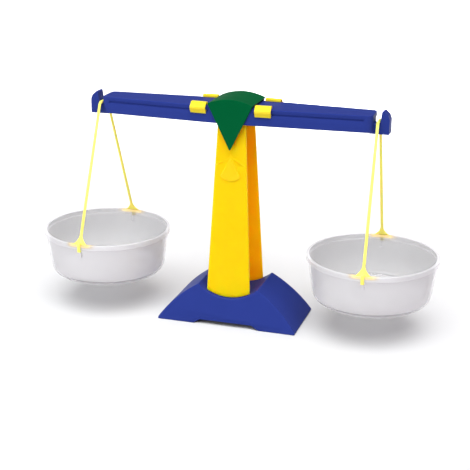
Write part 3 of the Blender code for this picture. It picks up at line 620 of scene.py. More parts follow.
def panel_mesh(name, side):
    """A crowned, leaning panel as a regular grid, with its foot on the saddle."""
    foot_radius = SADDLE_RADIUS - GAP
    head_z = PIVOT_Z + (BEAM_TOP_ABOVE_PIVOT - WALL - GAP) / math.cos(TILT_LIMIT)
    head_width = panel_half_width(head_z)
    rings = []
    for row in range(PANEL_ROWS + 1):
        share = row / PANEL_ROWS
        outer = []
        inner = []
        for column in range(PANEL_COLUMNS + 1):
            across = 2 * column / PANEL_COLUMNS - 1
            foot_x = across * COLUMN_FOOT_HALF_WIDTH
            foot_z = SADDLE_CENTRE_Z - math.sqrt(foot_radius ** 2 - foot_x ** 2)
            head_x = across * head_width
            top_z = head_z - abs(head_x) * math.tan(TILT_LIMIT)
            x = foot_x + (head_x - foot_x) * share
            z = foot_z + (top_z - foot_z) * share
            y = panel_depth(z) + PANEL_CROWN * (1 - across ** 2)
            outer.append((x, side * y, z))
            inner.append((x, side * (y - PANEL_THICKNESS), z))
        rings.append(outer + list(reversed(inner)))
    return softened(capped_grid(name, rings), PANEL_EDGE)


def mark_outline():
    """The raised zero mark: a triangle with a rounded apex and a rounded lower edge."""
    side_z = MARK_APEX_Z - ZERO_MARK_SIDE_HEIGHT
    left = (-ZERO_MARK_HALF_WIDTH, side_z)
    lower_edge = bowed(left, (ZERO_MARK_HALF_WIDTH, side_z), -ZERO_MARK_SAG, 2 * ARC_STEPS)
    return rounded([(x, z, 0) for x, z in lower_edge] + [(0, MARK_APEX_Z, ZERO_MARK_APEX_RADIUS)])


def mark_mesh():
    """The zero mark, raised from the front panel, with a chamfer round its face."""
    outline = list(reversed(mark_outline()))
    narrow = inset(outline, MARK_CHAMFER)
    face = PANEL_CROWN + ZERO_MARK_RAISE
    rings = []
    for points, depth in ((outline, -PANEL_THICKNESS / 2), (outline, face - MARK_CHAMFER), (narrow, face)):
        rings.append([(x, -panel_depth(z) - depth, z) for x, z in points])
    return lofted_mesh("zero_mark", rings)


def brow_mesh():
    """A fine ridge from the mark's apex down to both edges of the front panel."""
    reach = panel_half_width(MARK_APEX_Z) - PANEL_THICKNESS / 2
    rings = []
    for index in range(-BROW_STEPS, BROW_STEPS + 1):
        share = index / BROW_STEPS
        middle = MARK_APEX_Z - BROW_DROP * abs(share) - BROW_WIDTH / 2
        ring = []
        for up, out in ((1, -1), (1, 0), (BROW_FACE_SHARE, 1), (-BROW_FACE_SHARE, 1), (-1, 0), (-1, -1)):
            z = middle + up * BROW_WIDTH / 2
            raised = out * BROW_RAISE if out > 0 else out * PANEL_THICKNESS / 2
            x = share * reach
            crown = PANEL_CROWN * (1 - (x / panel_half_width(z)) ** 2)
            ring.append((x, -panel_depth(z) - crown - raised, z))
        rings.append(ring)
    return lofted_mesh("brow", rings)


def column_mesh():
    web_low = SADDLE_LOW_Z + 2 * GAP
    web_high = PIVOT_Z - WEB_BELOW_PIVOT
    low_reach = panel_depth(web_low) - PANEL_THICKNESS / 2
    high_reach = panel_depth(web_high) - PANEL_THICKNESS / 2
    web = [(-low_reach, web_low), (low_reach, web_low), (high_reach, web_high), (-high_reach, web_high)]
    steps = [
        ("UNION", panel_mesh("back_panel", 1)),
        ("UNION", side_mesh("web", web, WEB_THICKNESS / 2)),
        ("UNION", mark_mesh()),
        ("UNION", brow_mesh()),
    ]
    boss_low = SADDLE_CENTRE_Z - math.sqrt(SADDLE_RADIUS ** 2 - BOSS_RADIUS ** 2) + GAP
    bore_depth = SCREW_GRIP + 2 * GAP
    bore_z = SADDLE_LOW_Z + (bore_depth - OVERRUN) / 2
    for side in (-1, 1):
        place = (0, side * BOSS_Y, boss_low + BOSS_HEIGHT / 2)
        steps.append(("UNION", rod_mesh("boss", BOSS_RADIUS, BOSS_HEIGHT, "Z", place)))
        place = (0, side * BOSS_Y, bore_z)
        bore = rod_mesh("boss_bore", SCREW_SHANK_RADIUS + GAP, bore_depth + OVERRUN, "Z", place)
        steps.append(("DIFFERENCE", bore))
    reach = 2 * (COLUMN_FOOT_HALF_DEPTH + OVERRUN)
    steps.append(("DIFFERENCE", rod_mesh("pin_bore", PIN_RADIUS + GAP, reach, "Y", (0, 0, PIVOT_Z))))
    return smooth(combined(panel_mesh("column", -1), *steps, flat_angle=0), PANEL_SMOOTH_ANGLE)


def screw_mesh(name):
    """A pan-head screw whose head bears on the underside of the saddle."""
    head_top = SADDLE_LOW_Z - WALL - GAP
    tip = head_top + WALL + SCREW_GRIP
    neck = SCREW_SHANK_RADIUS
    edge = SCREW_HEAD_HEIGHT / 4
    low = head_top - SCREW_HEAD_HEIGHT
    profile = rounded([
        (0, tip, 0),
        (neck / 2, tip, 0),
        (neck, tip - neck, edge),
        (neck, head_top, 0),
        (SCREW_HEAD_RADIUS, head_top, edge / 2),
        (SCREW_HEAD_RADIUS, head_top - SCREW_HEAD_HEIGHT / 2, edge),
        (SCREW_HEAD_RADIUS * SCREW_HEAD_FLAT_SHARE, low, edge),
        (0, low, 0),
    ], SMALL_ARC_STEPS)
    steps = []
    across = SCREW_RECESS_LENGTH / 2
    narrow = SCREW_RECESS_WIDTH / 2
    for width, depth in ((across, narrow), (narrow, across)):
        inner_corner = (width, depth, low + SCREW_RECESS_DEPTH)
        recess = box_mesh(name + "_recess", (-width, -depth, low - OVERRUN), inner_corner)
        steps.append(("DIFFERENCE", recess))
    return smooth(combined(turned_mesh(name, profile, ROUND_STEPS), *steps))


def pin_mesh():
    """The pin that the beam tips on, from wall to wall of the beam."""
    half = BEAM_MID_HALF_WIDTH - GAP
    profile = rounded([
        (0, half, 0),
        (PIN_RADIUS, half, PIN_CHAMFER),
        (PIN_RADIUS, -half, PIN_CHAMFER),
        (0, -half, 0),
    ], SMALL_ARC_STEPS)
    mesh = turned_mesh("pin", profile, ROUND_STEPS)
    mesh.transform(STAND_UP)
    return smooth(cleaned(mesh))


def beam_half_width(x):
    """Half width of the beam's body, straight under the pointer and tapering beyond it."""
    beyond = max(abs(x) - POINTER_HALF_WIDTH, 0)
    share = beyond / (BEAM_BODY_HALF_LENGTH - POINTER_HALF_WIDTH)
    return BEAM_MID_HALF_WIDTH + (BEAM_END_HALF_WIDTH - BEAM_MID_HALF_WIDTH) * share


def beam_plan(inward):
    """Outline of the beam's body seen from above, moved inwards."""
    corner_radius = BEAM_CORNER_RADIUS - inward
    end = BEAM_BODY_HALF_LENGTH - inward
    end_width = beam_half_width(BEAM_BODY_HALF_LENGTH) - inward
    mid_width = BEAM_MID_HALF_WIDTH - inward
    return rounded([
        (-POINTER_HALF_WIDTH, mid_width, 0),
        (POINTER_HALF_WIDTH, mid_width, 0),
        (end, end_width, corner_radius),
        (end, -end_width, corner_radius),
        (POINTER_HALF_WIDTH, -mid_width, 0),
        (-POINTER_HALF_WIDTH, -mid_width, 0),
        (-end, -end_width, corner_radius),
        (-end, end_width, corner_radius),
    ])


def tab_outline():
    """The notched block at the beam's right end, in X and Z."""
    low_z = BEAM_BOTTOM_Z - TAB_BOTTOM_DROP
    peak_z = BEAM_TOP_Z + TAB_RISE
    shoulder_z = peak_z - TAB_SHOULDER_DROP
    start_x = BEAM_BODY_HALF_LENGTH - 2 * WALL
    ridge_x = TAB_INNER_X + TAB_LEAN
    return rounded([
        (start_x, low_z, 0),
        (start_x, NOTCH_FLOOR_Z, 0),
        (TAB_INNER_X, NOTCH_FLOOR_Z, ROD_RADIUS / 2),
        (ridge_x, peak_z - TAB_LEAN / 2, TAB_WIDTH / 12),
        (ridge_x + TAB_WIDTH / 5, peak_z, TAB_WIDTH / 8),
        (TAB_OUTER_X - TAB_WIDTH / 6, shoulder_z + TAB_SHOULDER_DROP / 2, TAB_WIDTH / 2),
        (TAB_OUTER_X, shoulder_z, TAB_WIDTH / 3),
        (TAB_OUTER_X, low_z, BEAM_EDGE),
    ])


def rail_frame(side, end, x):
    """Turn about Z and place on the beam's edge where local -Y points outwards.

    side is -1 for the front edge and 1 for the back; end is -1 for the left arm and 1 for the right.
    """
    taper = math.atan2(BEAM_MID_HALF_WIDTH - BEAM_END_HALF_WIDTH, BEAM_BODY_HALF_LENGTH - POINTER_HALF_WIDTH)
    angle = math.pi - taper * end if side > 0 else taper * end
    return angle, (end * x, side * beam_half_width(x))


def end_cut(inward):
    """What slants away under the rail at the beam's front left corner, moved inwards."""
    low_z = BEAM_BOTTOM_Z - OVERRUN
    start = -BEAM_BODY_HALF_LENGTH + END_CUT_INWARD_SHARE * inward
    run = END_CUT_RUN * (RAIL_Z - low_z) / (RAIL_Z - BEAM_BOTTOM_Z)
    far = -BEAM_BODY_HALF_LENGTH - OVERRUN
    outline = [(far, RAIL_Z), (start, RAIL_Z), (start + run, low_z), (far, low_z)]
    return plate_mesh("end_cut", outline, -BEAM_MID_HALF_WIDTH, inward - TAB_HALF_DEPTH + TAB_WALL / 2)


def beam_block(name, inward, low_z, high_z):
    """The beam's body as a solid block without its cut corners, moved inwards."""
    block = plan_mesh(name, beam_plan(inward), low_z, high_z)
    return combined(block, ("DIFFERENCE", end_cut(inward)), ("DIFFERENCE", turned_round(end_cut(inward))))


def beam_mesh():
    """The beam: a channel open below, a notched block at each end and a groove under each rail."""
    body = softened(beam_block("beam", 0, BEAM_BOTTOM_Z, BEAM_TOP_Z), BEAM_EDGE, BROAD_SEGMENTS)
    steps = [("DIFFERENCE", beam_block("beam_hollow", WALL, BEAM_BOTTOM_Z - OVERRUN, BEAM_TOP_Z - WALL))]
    pocket_reach = TAB_HALF_DEPTH - TAB_WALL
    open_z = BEAM_BOTTOM_Z - TAB_BOTTOM_DROP - OVERRUN
    pocket_low = (BEAM_BODY_HALF_LENGTH - WALL - GAP, -pocket_reach, open_z)
    pocket_high = (TAB_OUTER_X - TAB_WALL, pocket_reach, NOTCH_FLOOR_Z - NOTCH_FLOOR_THICKNESS)
    for end in (-1, 1):
        block = softened(plate_mesh("tab", tab_outline(), -TAB_HALF_DEPTH, TAB_HALF_DEPTH), BEAM_EDGE / 2)
        pocket = box_mesh("tab_pocket", pocket_low, pocket_high)
        if end < 0:
            turned_round(block)
            turned_round(pocket)
        steps += [("UNION", block), ("DIFFERENCE", pocket)]
    boss_inner = panel_depth(PIVOT_Z) + PANEL_CROWN + 2 * GAP
    boss_outer = BEAM_MID_HALF_WIDTH - WALL / 2
    for side in (-1, 1):
        place = (0, side * (boss_inner + boss_outer) / 2, PIVOT_Z)
        steps.append(("UNION", rod_mesh("boss", BEAM_BOSS_RADIUS, boss_outer - boss_inner, "Y", place)))
    reach = 2 * (BEAM_MID_HALF_WIDTH + OVERRUN)
    steps.append(("DIFFERENCE", rod_mesh("pin_bore", PIN_RADIUS + GAP, reach, "Y", (0, 0, PIVOT_Z))))
    half = (GROOVE_HALF_LENGTH - POINTER_HALF_WIDTH) / 2
    groove_low = (-half, -OVERRUN, RAIL_Z - GROOVE_HEIGHT)
    for side in (-1, 1):
        for end in (-1, 1):
            angle, centre = rail_frame(side, end, (POINTER_HALF_WIDTH + GROOVE_HALF_LENGTH) / 2)
            groove = box_mesh("groove", groove_low, (half, GROOVE_DEPTH, RAIL_Z))
            groove.transform(Matrix.Translation((*centre, 0)) @ Matrix.Rotation(angle, 4, "Z"))
            steps.append(("DIFFERENCE", groove))
    return softened(combined(body, *steps), FINE_EDGE, FINE_SEGMENTS)


def crown_line(corner_z):
    """The pointer's crowned top in X and Z, from its left corner to its right one."""
    left = (-POINTER_HALF_WIDTH, corner_z)
    return bowed(left, (POINTER_HALF_WIDTH, corner_z), POINTER_CROWN, 4 * ARC_STEPS)


def pointer_outline():
    """Outline of the pointer in X and Z: a crowned top and straight sides down to the tip."""
    crown = crown_line(BEAM_TOP_Z + POINTER_CORNER_ABOVE_BEAM)
    corners = [(x, z, 0) for x, z in crown]
    corners[0] = (*crown[0], POINTER_CORNER_RADIUS)
    corners[-1] = (*crown[-1], POINTER_CORNER_RADIUS)
    corners.append((0, PIVOT_Z - POINTER_TIP_BELOW_PIVOT, POINTER_TIP_RADIUS))
    return rounded(corners, POINTER_ARC_STEPS)


def pointer_mesh():
    inner = BEAM_MID_HALF_WIDTH + GAP
    outer = inner + POINTER_PLATE
    cap = softened(plate_mesh("pointer", pointer_outline(), -outer, outer), POINTER_EDGE, BROAD_SEGMENTS)
    corner_z = BEAM_TOP_Z + POINTER_CORNER_ABOVE_BEAM - POINTER_ROOF
    wide = POINTER_HALF_WIDTH + OVERRUN
    low_z = PIVOT_Z - POINTER_TIP_BELOW_PIVOT - OVERRUN
    room = [(-wide, low_z), (-wide, corner_z), *crown_line(corner_z), (wide, corner_z), (wide, low_z)]
    hollow = plate_mesh("pointer_hollow", room, -inner, inner)
    return softened(combined(cap, ("DIFFERENCE", hollow)), FINE_EDGE, FINE_SEGMENTS)


def clip_outline():
    """Section of a clip: distance outwards from the beam's edge, and height above its top."""
    top = CLIP_TOP_ABOVE_BEAM
    nose_high = -RAIL_HEIGHT / 2 + CLIP_NOSE_HALF_HEIGHT
    nose_low = -RAIL_HEIGHT / 2 - CLIP_NOSE_HALF_HEIGHT
    lip_high = -RAIL_HEIGHT - GAP
    lip_low = -RAIL_HEIGHT - GROOVE_HEIGHT + GAP
    foot = lip_low - CLIP_SKIRT
    round_outer = CLIP_WALL / 2
    round_inner = CLIP_WALL / 4
    return rounded([
        (GAP, foot, 0),
        (GAP + CLIP_WALL * CLIP_FOOT_SHARE, foot, round_inner),
        (CLIP_BULGE, nose_low, round_outer),
        (CLIP_BULGE, nose_high, round_outer),
        (-CLIP_WALL / 2, top, round_outer),
        (-CLIP_OVERLAP + CLIP_WALL / 2, top, round_inner),
        (-CLIP_OVERLAP, top - CLIP_WALL, round_inner),
        (-CLIP_OVERLAP, GAP, 0),
        (-CLIP_OVERLAP + CLIP_WALL, GAP, 0),
        (-CLIP_OVERLAP + CLIP_WALL, top - CLIP_WALL, round_inner),
        (-CLIP_WALL, top - CLIP_WALL, round_inner),
        (CLIP_BULGE - CLIP_WALL, nose_high - round_inner, round_inner),
        (CLIP_BULGE - CLIP_WALL, nose_low + round_inner, round_inner),
        (GAP, lip_high, 0),
        (-CLIP_LIP_REACH, lip_high, 0),
        (-CLIP_LIP_REACH, lip_low, 0),
        (GAP, lip_low, 0),
    ], SMALL_ARC_STEPS)


def clip_mesh():
    outline = [(-outward, height) for outward, height in clip_outline()]
    return softened(side_mesh("clip", outline, CLIP_LENGTH / 2), FINE_EDGE / 2, FINE_SEGMENTS)


def pan_profile():
    """Section of a pan, from the middle of its floor over the rim and down to the middle of its foot."""
    recess = PAN_RECESS_DEPTH
    floor_z = PAN_WALL - PAN_HEIGHT
    return rounded([
        (0, floor_z + recess, 0),
        (PAN_RECESS_RADIUS, floor_z + recess, recess),
        (PAN_RECESS_RADIUS + 2 * recess, floor_z, recess),
        (PAN_FOOT_RADIUS - PAN_WALL, floor_z, PAN_CORNER_RADIUS - PAN_WALL),
        (PAN_WALL_TOP_RADIUS - PAN_WALL, 0, PAN_WALL / 3),
        (PAN_RADIUS, 0, PAN_WALL / 2),
        (PAN_RADIUS, -PAN_LIP_HEIGHT, PAN_LIP_ROUND),
        (PAN_WALL_TOP_RADIUS, -PAN_LIP_HEIGHT, PAN_WALL / 5),
        (PAN_FOOT_RADIUS, -PAN_HEIGHT, PAN_CORNER_RADIUS),
        (PAN_RECESS_RADIUS, -PAN_HEIGHT, recess),
        (PAN_RECESS_RADIUS - 2 * recess, recess - PAN_HEIGHT, recess),
        (0, recess - PAN_HEIGHT, 0),
    ], PAN_ARC_STEPS)


def pan_mesh():
    below_lip = BARB_HEIGHT + 2 * GAP
    high = -PAN_LIP_HEIGHT - below_lip
    near = PAN_WALL_TOP_RADIUS - PAN_WALL / 2 - PAN_SLOPE * (below_lip + STOP_HEIGHT)
    steps = []
    for side in (-1, 1):
        low_y, high_y = sorted((side * near, side * (PAN_WALL_TOP_RADIUS + STOP_PROUD)))
        low_corner = (-STOP_HALF_WIDTH, low_y, high - STOP_HEIGHT)
        stop = box_mesh("stop", low_corner, (STOP_HALF_WIDTH, high_y, high))
        steps.append(("UNION", softened(stop, FINE_EDGE)))
    mesh = smooth(combined(turned_mesh("pan", pan_profile(), PAN_STEPS), *steps))
    places = mesh.attributes.new(PAN_PLACE, "FLOAT_VECTOR", "POINT")
    for vertex in mesh.vertices:
        places.data[vertex.index].vector = vertex.co
    return mesh


def hook_outline():
    """Side view of a foot's tongue in Y and Z: over the rim, down the lip's face and under its edge."""
    inner_y = FOOT_DISTANCE
    face_y = PAN_RADIUS + GAP
    tongue_y = face_y + TONGUE_THICKNESS
    barb_y = PAN_RADIUS - BARB_REACH
    barb_z = -PAN_LIP_HEIGHT - GAP
    return rounded([
        (inner_y, GAP, 0),
        (inner_y, GAP + BRIDGE_THICKNESS, 0),
        (tongue_y, GAP + BRIDGE_THICKNESS, BRIDGE_THICKNESS * BRIDGE_ROUND_SHARE),
        (tongue_y, barb_z - BARB_HEIGHT, TONGUE_THICKNESS / 2),
        (face_y, barb_z - BARB_HEIGHT, 0),
        (barb_y, barb_z - BARB_HEIGHT / 3, 0),
        (barb_y, barb_z, 0),
        (face_y, barb_z, 0),
        (face_y, GAP, 0),
    ], HOOK_ARC_STEPS)


def ring_points(centre, lean, half_width, half_depth, power):
    """A ring round a rod: a circle at power 2, squarer above it; lean turns its plane about X."""
    points = []
    for index in range(ROD_SIDES):
        angle = 2 * math.pi * index / ROD_SIDES
        across = math.copysign(abs(math.cos(angle)) ** (2 / power), math.cos(angle)) * half_width
        along = math.copysign(abs(math.sin(angle)) ** (2 / power), math.sin(angle)) * half_depth
        points.append((across, centre[0] + along * math.cos(lean), centre[1] + along * math.sin(lean)))
    return points


def hanger_rings():
    """Rings from the middle of the bar down the front leg to the foot on the rim."""
    lean = math.atan(LEG_LEAN)
    centre_y = -BAR_HALF_LENGTH
    bend = rounded([(0, 0, 0), (centre_y, 0, ROD_BEND), (-FOOT_DISTANCE, -HANGER_DROP, 0)], ARC_STEPS)[1:-1]
    rings = []
    for index, (y, z) in enumerate(bend):
        turn = (math.pi / 2 - lean) * index / (len(bend) - 1)
        rings.append(ring_points((y, z), math.pi / 2 - turn, ROD_RADIUS, ROD_RADIUS, 2))
    flare_steps = 3 * ARC_STEPS
    for index in range(flare_steps + 1):
        share = 1 - index / flare_steps
        z = GAP + FLARE_HEIGHT * share - HANGER_DROP
        y = -FOOT_DISTANCE + LEG_LEAN * (FLARE_HEIGHT * share)
        spread = (1 - share) ** FLARE_POWER
        half_width = ROD_RADIUS + (FLARE_HALF_WIDTH - ROD_RADIUS) * spread
        half_depth = ROD_RADIUS + (FLARE_HALF_THICKNESS - ROD_RADIUS) * spread
        power = 2 + spread
        rings.append(ring_points((y, z), lean * share, half_width, half_depth, power))
    y, z = -FOOT_DISTANCE, GAP - HANGER_DROP
    rings[-1] = ring_points((y, z + FLARE_EDGE), 0, FLARE_HALF_WIDTH, FLARE_HALF_THICKNESS, FOOT_POWER)
    narrow = FLARE_EDGE * FLARE_EDGE_SHARE
    foot = ring_points((y, z), 0, FLARE_HALF_WIDTH - narrow, FLARE_HALF_THICKNESS - narrow, FOOT_POWER)
    rings.append(foot)
    return rings


def hanger_mesh():
    front = hanger_rings()
    back = [[(x, -y, z) for x, y, z in ring] for ring in front]
    rod = lofted_mesh("hanger", front[::-1] + back)
    steps = []
    for side in (-1, 1):
        hook = side_mesh("hook", [(side * y, z) for y, z in hook_outline()], TONGUE_HALF_WIDTH)
        hook = softened(hook, FINE_EDGE)
        hook.transform(Matrix.Translation((0, 0, -HANGER_DROP)))
        steps.append(("UNION", hook))
    return smooth(combined(rod, *steps), ROD_SMOOTH_ANGLE)


def new_material(name):
    """A material with its node tree and its shader."""
    material = bpy.data.materials.new(name)
    material.use_nodes = True
    return material, material.node_tree, material.node_tree.nodes["Principled BSDF"]


def feed(tree, node, inputs):
    """Gives a node's inputs, by name or number, a value or the output of another node."""
    for name, value in inputs.items():
        socket = node.inputs[name]
        if isinstance(value, bpy.types.NodeSocket):
            tree.links.new(value, socket)
        elif socket.type == "RGBA":
            socket.default_value = (*value, 1)
        else:
            socket.default_value = value


def add_node(tree, kind, inputs, **settings):
    """A shader node with its settings and inputs; the nodes stand in rows in the editor."""
    row, column = divmod(len(tree.nodes), NODES_IN_ROW)
    node = tree.nodes.new("ShaderNode" + kind)
    node.location = (NODE_STEP * (column - NODES_IN_ROW), -NODE_STEP * row)
    for name, value in settings.items():
        setattr(node, name, value)
    feed(tree, node, inputs)
    return node


def add_math(tree, operation, *values):
    """One step of arithmetic on values, each a number or the output of another node."""
    return add_node(tree, "Math", dict(enumerate(values)), operation=operation).outputs["Value"]


def add_noise(tree, vector, scale, detail):
    inputs = {"Vector": vector, "Scale": scale, "Detail": detail}
    return add_node(tree, "TexNoise", inputs).outputs["Fac"]


def add_range(tree, value, low, high):
    """A value from 0 to 1, spread from low to high."""
    return add_node(tree, "MapRange", {"Value": value, "To Min": low, "To Max": high}).outputs["Result"]


def add_fade(tree, value, start, end):
    """0 at the start value and 1 at the end value, with a soft passage."""
    inputs = {"Value": value, "From Min": start, "From Max": end}
    return add_node(tree, "MapRange", inputs, interpolation_type="SMOOTHSTEP").outputs["Result"]


def add_mix(tree, share, first, second, blend_type="MIX"):
    """The first colour at share 0 and the second at share 1, or both by another blend."""
    inputs = {"Factor": share, "A": first, "B": second}
    return add_node(tree, "Mix", inputs, data_type="RGBA", blend_type=blend_type).outputs["Result"]


def plastic(name, deep, pale, roughness, specular, tint, glow=0.0):
    """Moulded plastic: slow drifts of colour and gloss, a fine grain, and paler sharp edges that are partly
    wear and partly a painted highlight.
    """
    material, tree, shader = new_material(name)
    place = add_node(tree, "TexCoord", {}).outputs["Object"]
    drift = add_noise(tree, place, DRIFT_SCALE, DRIFT_DETAIL)
    gloss = add_noise(tree, place, GLOSS_SCALE, GLOSS_DETAIL)
    grain = add_noise(tree, place, GRAIN_SCALE, GRAIN_DETAIL)
    # Sharp convex edges are made paler: partly wear, partly a painted edge highlight
    edges = add_node(tree, "NewGeometry", {}).outputs["Pointiness"]
    inputs = {"Value": edges, "From Min": EDGE_WEAR_AND_HIGHLIGHT_START, "From Max": EDGE_WEAR_AND_HIGHLIGHT_END, "To Max": EDGE_WEAR_AND_HIGHLIGHT_SHARE}
    edge_wear_and_highlight = add_node(tree, "MapRange", inputs).outputs["Result"]
    worn_and_lit_edge = tuple(min(1, EDGE_WEAR_AND_HIGHLIGHT_LIFT + EDGE_WEAR_AND_HIGHLIGHT_GAIN * value) for value in pale)
    bump = add_node(tree, "Bump", {"Strength": 1, "Distance": GRAIN_HEIGHT, "Height": grain})
    feed(tree, shader, {
        "Base Color": add_mix(tree, edge_wear_and_highlight, add_mix(tree, drift, deep, pale), worn_and_lit_edge),
        "Roughness": add_range(tree, gloss, roughness - GLOSS_SPREAD, roughness + GLOSS_SPREAD),
        "Specular IOR Level": specular,
        "Specular Tint": tint,
        "Subsurface Weight": glow,
        "Subsurface Radius": SUBSURFACE_RADIUS,
        "Subsurface Scale": SUBSURFACE_SCALE,
        "Normal": bump.outputs["Normal"],
    })
    return material


def frosted(name):
    """Milky, see-through plastic with painted shade inside the pans' walls, painted light outside (paler low
    down, greyer at the lip) and the hangers' yellow painted beside their feet as bounce light.
    """
    material, tree, shader = new_material(name)
    local = add_node(tree, "Attribute", {}, attribute_name=PAN_PLACE).outputs["Vector"]
    split = add_node(tree, "SeparateXYZ", {"Vector": local})
    x, y, z = (split.outputs[axis] for axis in "XYZ")
    square = add_math(tree, "ADD", add_math(tree, "MULTIPLY", x, x), add_math(tree, "MULTIPLY", y, y))
    below_lip = add_math(tree, "MINIMUM", add_math(tree, "ADD", z, PAN_LIP_HEIGHT), 0)
    middle = add_math(tree, "MULTIPLY_ADD", below_lip, PAN_SLOPE, PAN_WALL_TOP_RADIUS - PAN_WALL / 2)
    # Within the wall's middle radius the pan gets painted shade
    painted_shade_within = add_math(tree, "LESS_THAN", add_math(tree, "SQRT", square), middle)
    # Height share: the outer colour is painted paler low down and greyer at the lip, and the veil thickens
    # upwards
    raised = add_fade(tree, z, PAN_VEIL_LOW - PAN_HEIGHT, PAN_VEIL_HIGH - PAN_HEIGHT)
    floor_z = PAN_FLOOR_TOP - PAN_HEIGHT
    flat = add_fade(tree, z, floor_z + PAN_FLOOR_FADE, floor_z)
    # Painted yellow bounce light beside each hanger's foot, just under the rim
    aside = add_math(tree, "ABSOLUTE", x)
    beside = add_fade(tree, aside, FOOT_PAINTED_BOUNCE_REACH, FOOT_PAINTED_BOUNCE_REACH - FOOT_PAINTED_BOUNCE_FADE)
    near_rim = add_fade(tree, z, -FOOT_PAINTED_BOUNCE_HEIGHT, -FOOT_PAINTED_BOUNCE_HEIGHT / 3)
    painted_bounce = add_math(tree, "MULTIPLY", beside, near_rim)
    drift = add_noise(tree, local, PAN_DRIFT_SCALE, DRIFT_DETAIL)
    # Outer colour: a milky drift of tone, painted paler low down and greyer at the lip
    outer = add_mix(tree, raised, add_mix(tree, drift, PAN_MILK_DEEP, PAN_MILK_PALE), PAN_LIP_PAINTED_GREY)
    # Inner colour: painted shade, darker on the walls than on the floor
    inner = add_mix(tree, flat, add_mix(tree, drift, PAN_PAINTED_SHADE_DEEP, PAN_PAINTED_SHADE_PALE), PAN_FLOOR_PAINTED_SHADE)
    wall_veil = add_math(tree, "MULTIPLY_ADD", raised, PAN_HIGH_VEIL - PAN_LOW_VEIL, PAN_LOW_VEIL)
    veil = add_math(tree, "MAXIMUM", wall_veil, add_math(tree, "MULTIPLY", flat, PAN_FLOOR_VEIL))
    feed(tree, shader, {
        "Base Color": add_mix(tree, painted_bounce, add_mix(tree, painted_shade_within, outer, inner), FOOT_PAINTED_BOUNCE),
        "Roughness": add_range(tree, drift, *PAN_ROUGHNESS),
        "IOR": PAN_IOR,
        "Subsurface Weight": flat,
        "Subsurface Radius": PAN_GLOW_RADIUS,
        "Subsurface Scale": PAN_GLOW_REACH,
        "Alpha": add_math(tree, "MAXIMUM", veil, add_math(tree, "MULTIPLY", painted_bounce, FOOT_PAINTED_BOUNCE_VEIL)),
    })
    return material


def steel(name):
    """Bright plated steel with a fine drift of gloss."""
    material, tree, shader = new_material(name)
    place = add_node(tree, "TexCoord", {}).outputs["Object"]
    drift = add_noise(tree, place, STEEL_SCALE, GLOSS_DETAIL)
    roughness = add_range(tree, drift, *STEEL_ROUGHNESS)
    feed(tree, shader, {"Base Color": STEEL_COLOR, "Metallic": 1, "Roughness": roughness})
    return material


def make_camera():
    data = bpy.data.cameras.new("camera")
    data.lens = CAMERA_LENS
    data.sensor_width = CAMERA_SENSOR
    camera = add_object("camera", data)
    turn = Matrix.Rotation(CAMERA_AZIMUTH, 4, "Z")
    turn @= Matrix.Rotation(math.pi / 2 - CAMERA_ELEVATION, 4, "X")
    turn @= Matrix.Rotation(CAMERA_ROLL, 4, "Z")
    away = Matrix.Translation((0, 0, CAMERA_DISTANCE))
    camera.matrix_world = Matrix.Translation(CAMERA_TARGET) @ turn @ away
    bpy.context.scene.camera = camera


def add_lamp(name, kind, power, place, aim):
    """A lamp that shines from a place to its aim and doesn't show itself."""
    data = bpy.data.lights.new(name, kind)
    data.energy = power
    lamp = add_object(name, data)
    lamp.location = place
    lamp.rotation_mode = "QUATERNION"
    lamp.rotation_quaternion = (Vector(place) - Vector(aim)).to_track_quat("Z", "Y")
    lamp.visible_camera = False
    return lamp


def make_lamps():
    overhead = add_lamp("overhead", "SUN", OVERHEAD_STRENGTH, OVERHEAD_FROM, (0, 0, 0))
    overhead.data.angle = OVERHEAD_ANGLE
    front = add_lamp("front", "AREA", FRONT_POWER, FRONT_PLACE, FRONT_AIM)
    front.data.size = FRONT_SIZE
    back = add_lamp("back", "AREA", BACK_POWER, BACK_PLACE, BACK_AIM)
    back.data.size = BACK_SIZE
    back.visible_glossy = False


def seen_rays(tree):
    """Two switches, 1 for rays that show a surface: seen straight or through glass, and also in gloss."""
    path = add_node(tree, "LightPath", {}).outputs
    straight = add_math(tree, "MAXIMUM", path["Is Camera Ray"], path["Is Transmission Ray"])
    return straight, add_math(tree, "MAXIMUM", straight, path["Is Glossy Ray"])


def make_world():
    """Fill light from all round: brighter near the horizon, unlike left and right, and dimmed in gloss."""
    world = bpy.data.worlds.new("studio")
    world.use_nodes = True
    tree = world.node_tree
    place = add_node(tree, "TexCoord", {}).outputs["Generated"]
    split = add_node(tree, "SeparateXYZ", {"Vector": place})
    rise = add_node(tree, "ValToRGB", {"Fac": split.outputs["Z"]})
    for element, height, color in zip(rise.color_ramp.elements, WORLD_RISE, (WHITE, WORLD_FILL)):
        element.position = height
        element.color = (*color, 1)
    across = add_math(tree, "MULTIPLY_ADD", split.outputs["X"], 0.5, 0.5)
    sides = add_mix(tree, across, WORLD_LEFT, WORLD_RIGHT)
    fill = add_mix(tree, 1, rise.outputs["Color"], sides, "MULTIPLY")
    straight, shown = seen_rays(tree)
    in_gloss = add_math(tree, "SUBTRACT", shown, straight)
    level = add_math(tree, "MULTIPLY_ADD", in_gloss, WORLD_IN_GLOSS - 1, 1)
    color = add_mix(tree, straight, fill, WHITE)
    feed(tree, tree.nodes["Background"], {"Color": color, "Strength": level})
    bpy.context.scene.world = world


